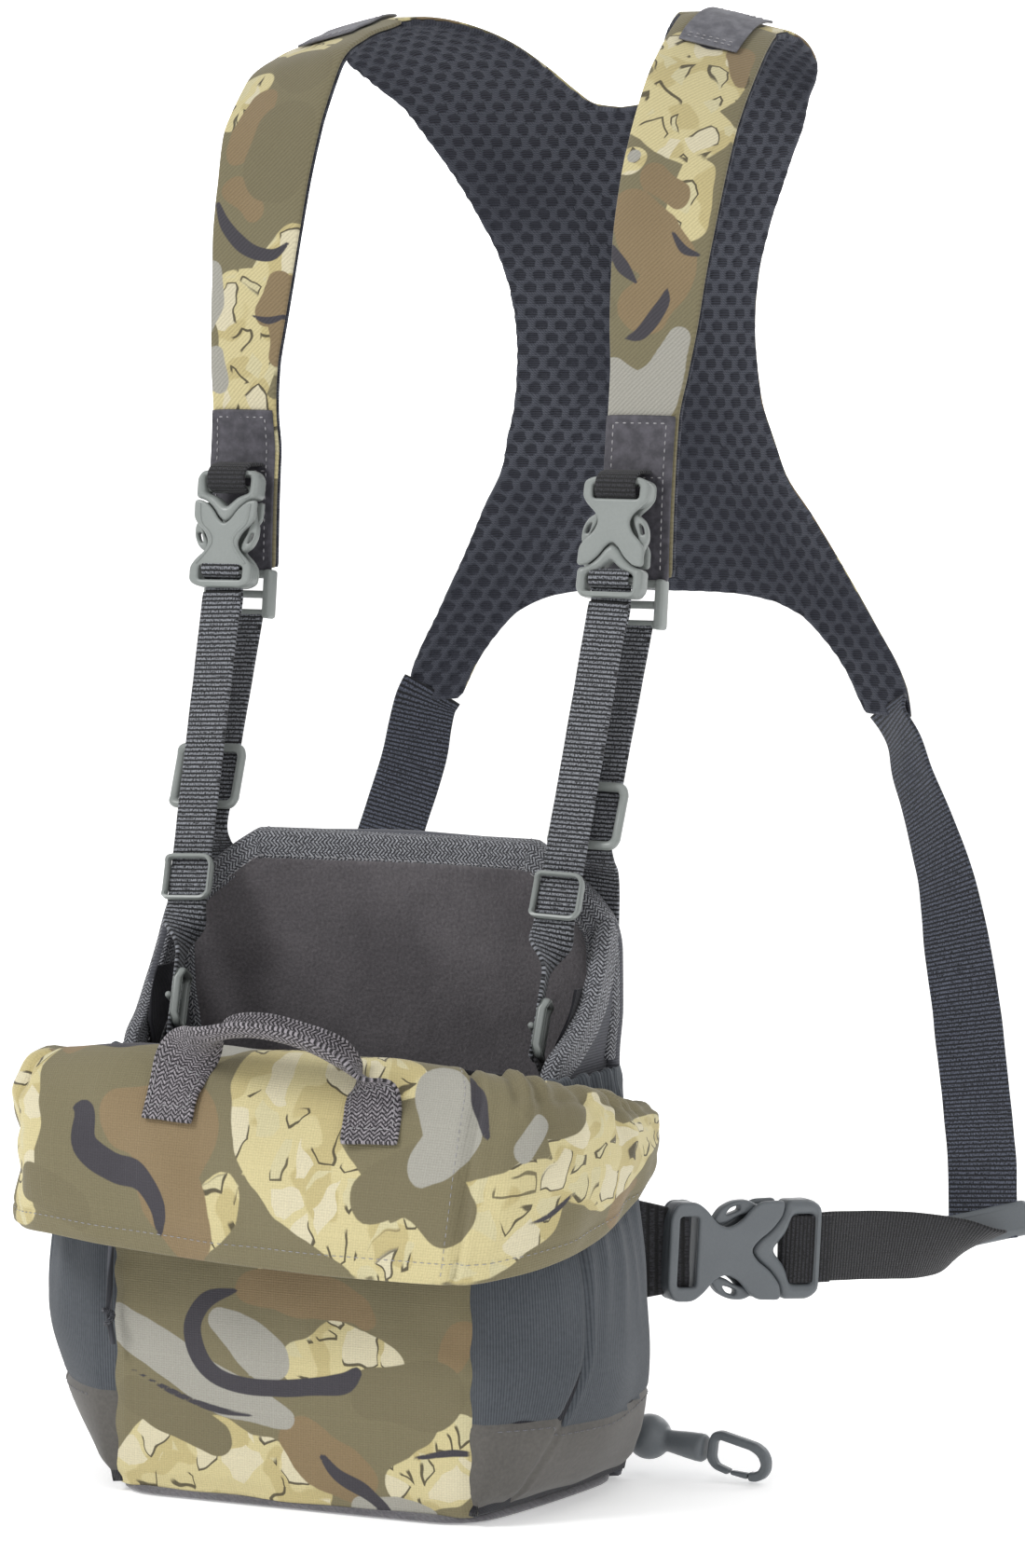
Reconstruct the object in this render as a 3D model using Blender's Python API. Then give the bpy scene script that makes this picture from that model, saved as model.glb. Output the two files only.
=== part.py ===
"""Binocular harness pack: an open-topped chest pouch with a fold-down hood, an
X-shaped shoulder harness, webbing, side-release buckles, sliders and a small
stabiliser hook.

Frame: origin at the middle of the pouch's base on the floor, +Z up, -Y the
front (the camo pocket), +Y towards the wearer, +X the right side seen from the
front. All named sizes are millimetres; meshes are written in metres.
"""
import math
import bpy
import bmesh
from mathutils import Matrix, Vector
from mathutils.geometry import tessellate_polygon

MM = 0.001
GAP = 0.3                 # clearance kept between touching pieces

# ---- pouch -----------------------------------------------------------------
RIM_Z = 149.0             # height of the pouch's rim
FRONT_HALF = 68.0         # half width of the front pocket panel
FRONT_Y = -55.0           # outer face of the front panel at its edges
BACK_Y0 = 45.0            # outer face of the back panel at the floor
BACK_LEAN = 9.5           # how far the back panel leans forward at its top
BACK_TOP = 225.0          # top of the back panel
BACK_HALF = 84.5          # half width of the back panel
PANEL_T = 6.0             # back panel thickness
BULGE_R, BULGE_L = 27.0, 38.0     # how far the side pockets swell
ZIP_Z = 107.0             # zip line of the front pocket
# ---- webbing ---------------------------------------------------------------
WEB_T = 1.4               # webbing thickness
TETHER_W, MAIN_W, WAIST_W = 15.0, 20.0, 25.0
# ---- harness ---------------------------------------------------------------
MESH_T, COVER_T = 2.2, 1.1
# side view of the harness, (y, z) from the yoke's lower tips, up the back,
# over the shoulder and down the front to the strap ends
PROFILE = [(252, 235), (252, 255), (251, 280), (248, 308), (241, 340), (236, 368),
           (233, 395), (229, 422), (222, 447), (213, 470), (202, 488), (190, 499.5),
           (177, 507.5), (163, 512), (150.5, 511.8), (139, 507.3), (127.5, 500), (116, 490.8),
           (106.3, 480), (98, 469), (90, 456.5), (83, 438), (78.6, 421), (74.5, 404),
           (71, 388), (68, 372), (64.8, 342), (63.3, 312)]
# the yoke wraps the wearer's back: its middle stands this far behind its edges
WRAP = [(0, 14), (70, 14), (150, 9), (262, 13), (300, 5), (325, 0)]     # (arc length, mm)
# over the shoulder the neck side of the band is the higher one
TILT = [(235, 0), (290, 4), (320, 4.5), (355, 4.5), (385, 2), (415, 0)]
# the left strap stands a little further forward where it comes off the shoulder
LEFT_PUSH = [(323, 0), (345, 6), (366, 12), (385, 11.5), (404, 9), (440, 8.5), (470, 7), (491, 3.5), (505, 0)]
# outline of the harness: (arc length along PROFILE, |x|)
YOKE_OUTER = [(20, 106), (30, 104.5), (38, 101.5), (54, 92.5), (78, 79), (98, 68),
              (113, 59), (125, 55.5), (144, 50.5), (165, 49), (175, 49.5), (190, 52),
              (210, 59), (225, 66), (237, 72), (248, 78), (262, 84), (273, 90),
              (285, 94), (298, 95), (311, 93.5), (322, 93.5), (336, 95)]
ARCH = [(0, 67), (15, 67), (30, 66.6), (45, 64.5), (60, 58.5), (72, 47), (80, 36), (86, 24)]  # (|x|, arc)
NECK = [(0, 255.5), (10, 257), (18, 264), (26, 276)]                # (|x|, arc)
STRAP_INNER = [(276, 26), (291, 35), (302, 43), (312, 51), (322, 57.5)]
STRAP_EDGE = [(322, 57.5, 93.5), (335, 59, 95), (350, 59.7, 96.4), (384, 60.3, 98.4), (404, 60.9, 99.4),
              (422, 61.2, 98.6), (440, 62.2, 97), (457, 63.6, 95.9), (475, 65.5, 93.8), (491, 66, 91.7), (546, 66, 91.2)]
STRAP_FROM, STRAP_TO = 322.0, 545.0
TAB_FROM = 490.0


# ---------------------------------------------------------------- helpers ----
PIVOT = {}                # moving piece: a point on its joint's axis

for o in list(bpy.data.objects):
    bpy.data.objects.remove(o, do_unlink=True)


def material(name, colour, rough, metal=0.0):
    m = bpy.data.materials.get(name)
    if m:
        return m
    m = bpy.data.materials.new(name)
    m.use_nodes = True
    b = m.node_tree.nodes["Principled BSDF"]
    b.inputs["Base Color"].default_value = (*colour, 1.0)
    b.inputs["Roughness"].default_value = rough
    b.inputs["Metallic"].default_value = metal
    return m


CAMO = (0.25, 0.21, 0.12)
STRETCH = (0.055, 0.062, 0.070)
MESHCOL = (0.035, 0.038, 0.048)
WEB = (0.075, 0.080, 0.092)
PLASTIC = (0.17, 0.19, 0.20)
LEATHER = (0.055, 0.053, 0.062)
FLEECE = (0.11, 0.105, 0.107)
ZIPCOL = (0.03, 0.03, 0.035)


def emit(name, verts, faces, colour, rough=0.8, smooth=True):
    """One closed body, faces out, from millimetre vertices."""
    me = bpy.data.meshes.new(name)
    bm = bmesh.new()
    vs = [bm.verts.new((x * MM, y * MM, z * MM)) for x, y, z in verts]
    for f in faces:
        bm.faces.new([vs[i] for i in f])
    bmesh.ops.recalc_face_normals(bm, faces=bm.faces)
    bmesh.ops.triangulate(bm, faces=bm.faces)
    bm.to_mesh(me)
    bm.free()
    if smooth:
        me.shade_smooth()
        me.set_sharp_from_angle(angle=math.radians(40))
    ob = bpy.data.objects.new(name, me)
    bpy.context.scene.collection.objects.link(ob)
    me.materials.append(material(name + "_mat", colour, rough))
    return ob


def V(*a):
    return Vector(a)


def table(rows, t, col=1):
    """Piecewise smooth (monotone) reading of a table at t."""
    if t <= rows[0][0]:
        return rows[0][col]
    for a, b in zip(rows, rows[1:]):
        if t <= b[0]:
            w = (t - a[0]) / (b[0] - a[0])
            return a[col] + (b[col] - a[col]) * w
    return rows[-1][col]


def catmull(pts, n):
    out = []
    for i in range(len(pts) - 1):
        p0, p1, p2, p3 = pts[max(i - 1, 0)], pts[i], pts[i + 1], pts[min(i + 2, len(pts) - 1)]
        for k in range(n):
            t = k / n
            out.append(0.5 * ((2 * p1) + (p2 - p0) * t + (2 * p0 - 5 * p1 + 4 * p2 - p3) * t * t
                              + (3 * p1 - p0 - 3 * p2 + p3) * t ** 3))
    out.append(pts[-1].copy())
    return out


def normals(P):
    n, m = len(P), len(P[0])
    N = []
    for i in range(n):
        row = []
        for j in range(m):
            a = P[min(i + 1, n - 1)][j] - P[max(i - 1, 0)][j]
            b = P[i][min(j + 1, m - 1)] - P[i][max(j - 1, 0)]
            v = a.cross(b)
            row.append(v.normalized() if v.length > 1e-9 else V(0, 0, 1))
        N.append(row)
    return N


def sheet(name, P, t0, t1, colour, rough=0.85, keep=None):
    """Solid of a sheet: the grid P offset by t0 and by t1 along its normal.
    keep(i, j) false leaves a quad out of the grid."""
    n, m = len(P), len(P[0])
    N = normals(P)
    V0 = [(P[i][j] + N[i][j] * t0)[:] for i in range(n) for j in range(m)]
    V1 = [(P[i][j] + N[i][j] * t1)[:] for i in range(n) for j in range(m)]
    k = n * m
    faces, edges = [], {}
    for i in range(n - 1):
        for j in range(m - 1):
            if keep and not keep(i, j):
                continue
            q = [i * m + j, (i + 1) * m + j, (i + 1) * m + j + 1, i * m + j + 1]
            faces.append([v + k for v in q])
            faces.append(q[::-1])
            for a, b in zip(q, q[1:] + q[:1]):
                edges[(a, b)] = 1
    for (a, b) in list(edges):
        if (b, a) not in edges:
            faces.append([a, b, b + k, a + k])
    verts = V0 + V1
    used = sorted({v for f in faces for v in f})
    new = {v: i for i, v in enumerate(used)}
    return emit(name, [verts[v] for v in used], [[new[v] for v in f] for f in faces], colour, rough)


def strip(name, pts, width, t0, t1, colour, step=3, cols=1, rough=0.7):
    """Flat webbing along route points [(position, width direction)]."""
    pos = catmull([p for p, _ in pts], step)
    wid = catmull([w.normalized() for _, w in pts], step)
    P = []
    for i in range(len(pos)):
        tan = (pos[min(i + 1, len(pos) - 1)] - pos[max(i - 1, 0)]).normalized()
        w = (wid[i] - tan * wid[i].dot(tan)).normalized()
        P.append([pos[i] + w * width * (c / cols - 0.5) for c in range(cols + 1)])
    return sheet(name, P, t0, t1, colour, rough)


def plate(name, loops, lo, hi, frame, colour, rough=0.5):
    """Extruded outline with holes. loops[0] is outer; frame=(origin,u,v,n)."""
    o, u, v, n = frame
    flat = [p for lp in loops for p in lp]
    tris = tessellate_polygon([[V(a, b, 0) for a, b in lp] for lp in loops])
    verts = [(o + u * a + v * b + n * lo)[:] for a, b in flat] + [(o + u * a + v * b + n * hi)[:] for a, b in flat]
    k = len(flat)
    faces = [list(t) for t in tris] + [[i + k for i in t][::-1] for t in tris]
    s = 0
    for lp in loops:
        for i in range(len(lp)):
            a, b = s + i, s + (i + 1) % len(lp)
            faces.append([a, b, b + k, a + k])
        s += len(lp)
    return emit(name, verts, faces, colour, rough)


def clam(name, outline, a, b, holes, levels, frame, colour):
    """Two plates of one outline joined by a block. The block takes the outline
    from index a to index b and closes along the chord b-a; holes go through it.
    levels = four depths: front plate 0-1, block 1-2, back plate 2-3."""
    o, u, v, n = frame
    m = len(outline)
    z0, z1, z2, z3 = levels
    verts, faces = [], []

    def add(p, z):
        verts.append((o + u * p[0] + v * p[1] + n * z)[:])
        return len(verts) - 1
    L = [[add(p, z) for p in outline] for z in levels]
    H = [[[add(p, z) for p in h] for z in (z0, z3)] for h in holes]
    tris = tessellate_polygon([[V(p[0], p[1], 0) for p in lp] for lp in [outline] + holes])
    for side, lev in ((0, 0), (1, 3)):
        ids = L[lev][:]
        for h in H:
            ids += h[side]
        for t in tris:
            f = [ids[i] for i in t]
            faces.append(f if side == 0 else f[::-1])
    for i in range(m):
        j = (i + 1) % m
        inblock = (a <= i < b) if a < b else (i >= a or i < b)
        faces.append([L[0][i], L[0][j], L[1][j], L[1][i]])
        faces.append([L[2][i], L[2][j], L[3][j], L[3][i]])
        if inblock:
            faces.append([L[1][i], L[1][j], L[2][j], L[2][i]])
    faces.append([L[1][b], L[1][a], L[2][a], L[2][b]])
    ring = []
    i = b
    while True:
        ring.append(i)
        if i == a:
            break
        i = (i + 1) % m
    cap = tessellate_polygon([[V(outline[i][0], outline[i][1], 0) for i in ring]])
    for t in cap:
        faces.append([L[1][ring[i]] for i in t][::-1])
        faces.append([L[2][ring[i]] for i in t])
    for h in H:
        c = len(h[0])
        for i in range(c):
            j = (i + 1) % c
            faces.append([h[0][i], h[0][j], h[1][j], h[1][i]])
    return emit(name, verts, faces, colour, 0.5)


def blocks(name, xs, ys, zs, solid, frame, colour):
    """Boundary of a set of grid cells in the frame (o,u,v,n)."""
    o, u, v, n = frame
    ids, verts, faces = {}, [], []

    def vid(i, j, k):
        if (i, j, k) not in ids:
            ids[(i, j, k)] = len(verts)
            verts.append((o + u * xs[i] + v * ys[j] + n * zs[k])[:])
        return ids[(i, j, k)]
    nx, ny, nz = len(xs) - 1, len(ys) - 1, len(zs) - 1

    def on(i, j, k):
        return 0 <= i < nx and 0 <= j < ny and 0 <= k < nz and solid(i, j, k)
    for i in range(nx):
        for j in range(ny):
            for k in range(nz):
                if not on(i, j, k):
                    continue
                if not on(i - 1, j, k):
                    faces.append([vid(i, j, k), vid(i, j, k + 1), vid(i, j + 1, k + 1), vid(i, j + 1, k)])
                if not on(i + 1, j, k):
                    faces.append([vid(i + 1, j, k), vid(i + 1, j + 1, k), vid(i + 1, j + 1, k + 1), vid(i + 1, j, k + 1)])
                if not on(i, j - 1, k):
                    faces.append([vid(i, j, k), vid(i + 1, j, k), vid(i + 1, j, k + 1), vid(i, j, k + 1)])
                if not on(i, j + 1, k):
                    faces.append([vid(i, j + 1, k), vid(i, j + 1, k + 1), vid(i + 1, j + 1, k + 1), vid(i + 1, j + 1, k)])
                if not on(i, j, k - 1):
                    faces.append([vid(i, j, k), vid(i, j + 1, k), vid(i + 1, j + 1, k), vid(i + 1, j, k)])
                if not on(i, j, k + 1):
                    faces.append([vid(i, j, k + 1), vid(i + 1, j, k + 1), vid(i + 1, j + 1, k + 1), vid(i, j + 1, k + 1)])
    return emit(name, verts, faces, colour, 0.5)


def loft(name, rings, colour, rough=0.7):
    """Closed body through rings of equal length, capped at both ends."""
    m = len(rings[0])
    verts = [p[:] for r in rings for p in r]
    faces = [list(range(m))[::-1], [len(verts) - m + i for i in range(m)]]
    for r in range(len(rings) - 1):
        for i in range(m):
            j = (i + 1) % m
            faces.append([r * m + i, r * m + j, (r + 1) * m + j, (r + 1) * m + i])
    return emit(name, verts, faces, colour, rough)


def turned(name, axis0, axis1, prof, colour, sides=12, rough=0.5):
    """Turned body between two points: prof = [(fraction along, radius)]."""
    d = (axis1 - axis0)
    L = d.length
    d.normalize()
    u = d.cross(V(0, 0, 1)).normalized()
    w = d.cross(u)
    rings = []
    for f, r in prof:
        c = axis0 + d * (f * L)
        rings.append([c + u * (r * math.cos(2 * math.pi * k / sides)) + w * (r * math.sin(2 * math.pi * k / sides))
                      for k in range(sides)])
    return loft(name, rings, colour, rough)


def cord(name, pts, radius, colour, res=2):
    cu = bpy.data.curves.new(name, "CURVE")
    cu.dimensions = "3D"
    cu.bevel_depth = radius * MM
    cu.bevel_resolution = res
    cu.use_fill_caps = True
    sp = cu.splines.new("POLY")
    sp.points.add(len(pts) - 1)
    for p, q in zip(sp.points, pts):
        p.co = (q[0] * MM, q[1] * MM, q[2] * MM, 1)
    ob = bpy.data.objects.new(name, cu)
    bpy.context.scene.collection.objects.link(ob)
    cu.materials.append(material(name + "_mat", colour, 0.8))
    return ob


# ------------------------------------------------------------ pouch shape ----
def back_y(z, x=0.0):
    """Outer face of the back panel at height z; its sides come forward higher up."""
    curl = 8.0 * smooth01(min(1.0, max(0.0, (z - 35) / 125)))
    return BACK_Y0 - BACK_LEAN * z / BACK_TOP - curl * (x / 84.5) ** 2


def smooth01(t):
    return 0.5 - 0.5 * math.cos(math.pi * t)


SWELL = [(3, .14), (12, .42), (31, .80), (58, 1.0), (95, .87), (122, .61), (149, .37)]


def gusset_point(t, z, side):
    """Outer face of the side pocket: t 0 at the front panel, 1 at the back."""
    bulge = (BULGE_R if side > 0 else BULGE_L) * table(SWELL, z)
    y0, y1 = FRONT_Y, back_y(z, 85) - 1.5
    x0 = FRONT_HALF + 1.8
    x1 = BACK_HALF + 2.2 - 3.5 * max(0, (20 - z) / 20)
    h = max(0.0, math.sin(math.pi * t ** 0.85)) ** 0.62
    return V(side * (x0 + (x1 - x0) * t + bulge * h), y0 + (y1 - y0) * t, z)


# base: a stiff felt-faced board, thin at its rim and thick inside
def base_ring(inset, z):
    pts = []
    for k in range(9):
        pts.append(V(-(FRONT_HALF - 2 - inset) + 2 * (FRONT_HALF - 2 - inset) * k / 8, FRONT_Y - 1.0 + inset, z))
    side = []
    for k in range(1, 8):
        p = gusset_point(0.04 + 0.92 * k / 8, 3.2, 1)
        side.append(V(min(p.x, 86.0) - 1.4 - inset, p.y * (1 - inset / 60), z))
    pts += side
    for k in range(9):
        pts.append(V((78 - inset) * (1 - 2 * k / 8), BACK_Y0 - 0.2 - (8.0 if inset else 0.0), z))
    pts += [V(-p.x, p.y, p.z) for p in side[::-1]]
    return pts


loft("base_panel", [base_ring(0, 0), base_ring(0, 3.0), base_ring(6.5, 3.0001), base_ring(6.5, 8.0)], FLEECE, 0.9)

# front wall (inner padded wall) and the front pocket's outer panel
FW = FRONT_HALF - 1.4


def wall_grid(x0, x1, nx, z0, z1, nz, yfun):
    return [[V(x0 + (x1 - x0) * i / nx, yfun(x0 + (x1 - x0) * i / nx, z0 + (z1 - z0) * j / nz), z0 + (z1 - z0) * j / nz)
             for j in range(nz + 1)] for i in range(nx + 1)]


def front_y(x, z):
    """Outer face of the front pocket: full below, nearly flat along the zip."""
    full = 2.3 if z < 70 else 2.3 + (0.5 - 2.3) * min(1.0, (z - 70) / 32)
    return FRONT_Y - full * math.cos(math.pi * x / (2 * FRONT_HALF)) ** 0.8 if abs(x) < FRONT_HALF else FRONT_Y


sheet("front_wall", wall_grid(-FW, FW, 10, 8.4, RIM_Z, 1, lambda x, z: front_y(x * .98, 149) + 3.1), -9.0, 0.0, STRETCH)
sheet("front_panel", wall_grid(-FRONT_HALF, FRONT_HALF, 12, 3.4, ZIP_Z - 3.6, 6, front_y), -2.6, 0.0, CAMO)
sheet("zip_chain", wall_grid(-FW, FW, 12, ZIP_Z - 3.2, ZIP_Z + 3.2, 1, front_y), -1.9, -0.5, ZIPCOL)

# zip slider and its short pull cord
zx = -63.5
zy = FRONT_Y - 0.9
blocks("zip_slider", [-4, -1.2, 1.2, 4], [-4.5, -1.5, 1.5, 4.5], [0.35, 2.0, 3.2],
       lambda i, j, k: k == 0 or i == 1, (V(zx, zy, ZIP_Z), V(1, 0, 0), V(0, 0, 1), V(0, -1, 0)), PLASTIC)
zc = catmull([V(zx - 2.0, zy - 3.6, ZIP_Z - 5.0), V(zx - 3.6, zy - 3.5, ZIP_Z - 14), V(zx - 4.2, zy - 3.4, 84),
              V(zx - 4.6, zy - 3.3, 74), V(zx - 5.0, zy - 3.5, 64), V(zx - 3.4, zy - 3.4, 53)], 3)
cord("zip_pull_cord", zc, 1.1, ZIPCOL)

# side pockets (stretch fabric), one shell each side
for side, tag in ((1, "R"), (-1, "L")):
    ts = [0, .03, .08, .16, .27, .4, .54, .68, .8, .9, .96, 1.0]
    zs = [3.4, 12, 31, 58, 95, 122, RIM_Z]
    P = [[gusset_point(t, z, side) for z in zs] for t in ts]
    s = -1 if side > 0 else 1
    sheet("gusset_" + tag, P, 0 if side > 0 else 0, (-1.8 if side > 0 else 1.8), STRETCH)

# back panel, its fleece lining, and the stiff side wings of the bay
def leaning(name, cols, d0, d1, rows, colour):
    """Plate between depths d0 and d1 in front of the back face. cols = (x,
    bottom z, top z) for x >= 0, mirrored."""
    cols = [(-x, a, b) for x, a, b in cols[::-1]] + [c for c in cols if c[0] > 0]
    n = rows + 1
    verts = [(x, back_y(a + (b - a) * j / rows, x) - d, a + (b - a) * j / rows) for d in (d0, d1) for x, a, b in cols
             for j in range(n)]
    k = len(cols) * n
    faces = []
    for i in range(len(cols) - 1):
        for j in range(rows):
            q = [i * n + j, (i + 1) * n + j, (i + 1) * n + j + 1, i * n + j + 1]
            faces += [q, [v + k for v in q][::-1]]
    rim = [i * n for i in range(len(cols))] + [(len(cols) - 1) * n + j for j in range(1, n)]
    rim += [i * n + rows for i in range(len(cols) - 2, -1, -1)] + [j for j in range(rows - 1, 0, -1)]
    for a, b in zip(rim, rim[1:] + rim[:1]):
        faces.append([b, a, a + k, b + k])
    return emit(name, verts, faces, colour, 0.85)


leaning("back_panel", [(0, 3.4, 225), (27, 3.4, 225), (54, 3.4, 225), (61, 3.4, 221.5), (71, 3.4, 213), (79.5, 3.4, 205.5),
                       (84.1, 60, 201), (84.5, 151, 200.5), (86.8, 170, 194)], 0, PANEL_T, 6, STRETCH)
leaning("back_lining", [(0, 8.4, 217), (27, 8.4, 217), (56, 8.4, 217), (67, 8.4, 208), (75.2, 8.4, 201), (77.5, 126, 199),
                        (82.2, 178, 194)], PANEL_T + 0.9, PANEL_T + 3.6, 6, FLEECE)
WING_T = 3.4
WING_X = [(8, 75.6), (60, 77.0), (120, 78.0), (149, 80.0), (175, 84.0), (203, 83.2)]   # (z, inner |x|)
WING = [(-16, 8.4), (-32, 20), (-40, 31), (-41, 80), (-39, 118), (-34, 130), (-28, 140), (-21, 149), (-16, 156), (-6, 163), (4, 173), (12, 185), (19, 198)]
for side, tag in ((1, "R"), (-1, "L")):
    # the wing leans out with height, so its rear edge has a point at each step of the lean
    outline = WING + [(back_y(z, table(WING_X, z) + 2) - PANEL_T - 0.8, z) for z in (203, 190, 175, 162, 149, 135, 120, 90, 60, 34, 8.4)]
    tris = tessellate_polygon([[V(a, b, 0) for a, b in outline]])
    k = len(outline)
    vv = [(side * table(WING_X, z), y, z) for y, z in outline] + [(side * (table(WING_X, z) + WING_T), y, z) for y, z in outline]
    ff = [list(t) for t in tris] + [[i + k for i in t][::-1] for t in tris]
    ff += [[i, (i + 1) % k, (i + 1) % k + k, i + k] for i in range(k)]
    emit("side_wing_" + tag, vv, ff, STRETCH, 0.85)

# ------------------------------------------------------------------- hood ----
HINGE_Y, HINGE_Z = 38.0, 125.0
# plan stations of the hood's rim from the right rear, round the front, to the
# left rear: (x at the bottom, y at the bottom, x top, y top, z bottom, z top)
HOOD = [(98, 27, 98, 26, 115, 134), (101.5, 14, 101.5, 14, 109, 138), (104, -8, 103.5, -8, 103, 143),
        (105, -32, 103.5, -30, 98, 149), (101, -54, 99, -46, 94, 153), (92, -71, 93, -56, 91, 155),
        (78.5, -80, 83, -60, 89, 156), (50, -82, 54, -62, 88.5, 158), (18, -82.5, 20, -63, 89, 158.5),
        (-18, -82.5, -20, -63, 90.5, 158.5), (-50, -82, -54, -62, 92.5, 158), (-79, -80, -84, -60, 95, 156),
        (-94, -72, -94, -57, 95, 155), (-106, -55, -102, -47, 96, 153), (-112.5, -32, -108.5, -30, 99, 149),
        (-112.5, -8, -109, -8, 103, 143), (-107.5, 14, -106, 14, 109, 138), (-101.5, 27, -101, 26, 115, 134)]


def hood_grid(nu, nv):
    cols = []
    for c in range(6):
        cols.append([V(r[c], 0, 0) for r in HOOD])
    cat = [catmull(c, nu) for c in cols]
    P = []
    for i in range(len(cat[0])):
        xb, yb, xt, yt, zb, zt = [cat[c][i].x for c in range(6)]
        row = []
        out = V((xb + xt) / 2, (yb + yt) / 2 + 20, 0)
        out = out.normalized() if out.length > 1 else V(0, -1, 0)
        for j in range(nv + 1):
            f = j / nv
            puff = 3.0 * math.sin(math.pi * min(1, f * 1.05)) + (-6.0 * ((f - 0.86) / 0.14) ** 2 if f > 0.86 else 0)
            x = xb + (xt - xb) * f
            y = yb + (yt - yb) * (f ** 1.5)
            z = zb + (zt - zb) * min(1.0, f * 1.06)
            row.append(V(x, y, z) + out * puff)
        P.append(row)
    return P


sheet("hood_shell", hood_grid(2, 6), 0, 2.6, CAMO)

# handle: an arch of webbing across the hood's top edge
HANDLE = [(V(-34, -75.2, 137), V(1, 0, .15)), (V(-33, -70.0, 149), V(1, 0, .15)), (V(-28, -74.5, 159), V(.85, .35, -.5)),
          (V(-13, -82, 167.5), V(.2, .9, .1)), (V(5, -85, 170), V(0, 1, .1)), (V(24, -83, 166), V(-.2, .95, .1)),
          (V(37, -76.0, 157), V(-.7, .5, .5)), (V(42, -69.8, 148), V(-1, 0, .2)), (V(43.5, -76.5, 134), V(-1, 0, .2))]


def hood_out(x, z, dist):
    """Point dist in front of the hood's face near x, z (front face only)."""
    g = [p for row in hood_grid(4, 12) for p in row]
    q = min(g, key=lambda p: (p.x - x) ** 2 + (p.z - z) ** 2 + (0 if p.y < -40 else 1e5))
    return q.y - dist


HANDLE = [(V(p.x, min(p.y, hood_out(p.x, p.z, 5.2)) if p.z < 155 else p.y, p.z), w) for p, w in HANDLE]
strip("hood_handle", HANDLE, 19, -0.9, 0.9, LEATHER, 3)

# ---------------------------------------------------------------- harness ----
_c = catmull([V(0, y, z) for y, z in PROFILE], 10)
_s = [0.0]
for p, q in zip(_c, _c[1:]):
    _s.append(_s[-1] + (q - p).length)


def prof(s):
    """(point, outward normal) of the harness side view at arc length s."""
    s = min(max(s, 0), _s[-1])
    lo = 0
    while lo < len(_s) - 2 and _s[lo + 1] < s:
        lo += 1
    w = (s - _s[lo]) / (_s[lo + 1] - _s[lo])
    a, b = _c[lo], _c[lo + 1]
    d = (b - a).normalized()
    return a + (b - a) * w, V(0, d.z, -d.y)


def on_harness(x, s, off=0.0):
    p, n = prof(s)
    a = abs(x)
    wrap = table(WRAP, s) * (1 - min(1.0, a / table(YOKE_OUTER, min(s, 325))) ** 2)
    tilt = table(TILT, s) * max(-1.0, min(0.8, (78 - a) / 19))
    push = table(LEFT_PUSH, s) if x < 0 else 0.0
    return V(x, p.y + wrap, p.z + tilt) + n * (off + push)


def yoke_rows(n_low, n_mid, n_up, side_cols, mid_cols):
    """Rows of (x, s) over the X-shaped yoke. Columns: left arm, middle, right
    arm. None where the arm rows have no middle."""
    N = 2 * side_cols + mid_cols
    A0, A1 = side_cols, side_cols + mid_cols
    arch_c, neck_c = 60.0, 26.0

    def full(inner_s, corner_x, outer_s):
        xo = table(YOKE_OUTER, outer_s)
        row = []
        for c in range(N + 1):
            if c < A0:
                w = c / side_cols
                x = -xo + (xo - corner_x) * w
                s = outer_s + (inner_s(corner_x) - outer_s) * w
            elif c > A1:
                w = (N - c) / side_cols
                x = xo - (xo - corner_x) * w
                s = outer_s + (inner_s(corner_x) - outer_s) * w
            else:
                x = corner_x * (2 * (c - A0) / mid_cols - 1)
                s = inner_s(abs(x))
            row.append((x, s))
        return row

    def arms(xi, si, xo, so):
        row = []
        for c in range(N + 1):
            if c <= A0:
                w = c / side_cols
                row.append((-(xo + (xi - xo) * w), so + (si - so) * w))
            elif c >= A1:
                w = (N - c) / side_cols
                row.append((xo + (xi - xo) * w, so + (si - so) * w))
            else:
                row.append(None)
        return row
    arch_row = full(lambda x: table(ARCH, x), arch_c, 76.0)
    neck_row = full(lambda x: table(NECK, x), neck_c, 262.0)
    rows = []
    # the arch between x = 60 and its end near the tip, read by distance
    for k in range(n_low):
        w = k / n_low
        xi = 87.5 + (arch_c - 87.5) * w
        si = table(ARCH, xi) if xi <= 86 else 22.5
        so = 21 + (76 - 21) * w
        rows.append(arms(xi, si, table(YOKE_OUTER, so), so))
    rows.append(arch_row)
    for k in range(1, n_mid):
        w = k / n_mid
        so = 76 + (262 - 76) * w
        xo = table(YOKE_OUTER, so)
        row = []
        for c in range(N + 1):
            (xa, sa), (xb, sb) = arch_row[c], neck_row[c]
            wid_a, wid_b = table(YOKE_OUTER, 76.0), table(YOKE_OUTER, 262.0)
            fx = (xa / wid_a) * (1 - w) + (xb / wid_b) * w
            row.append((fx * xo, sa + (sb - sa) * w))
        rows.append(row)
    rows.append(neck_row)
    for k in range(1, n_up + 1):
        w = k / n_up
        si = 276 + (STRAP_FROM - 0.6 - 276) * w
        so = 262 + (STRAP_FROM - 0.6 - 262) * w
        rows.append(arms(table(STRAP_INNER, si), si, table(YOKE_OUTER, so), so))
    return rows, A0, A1


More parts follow.
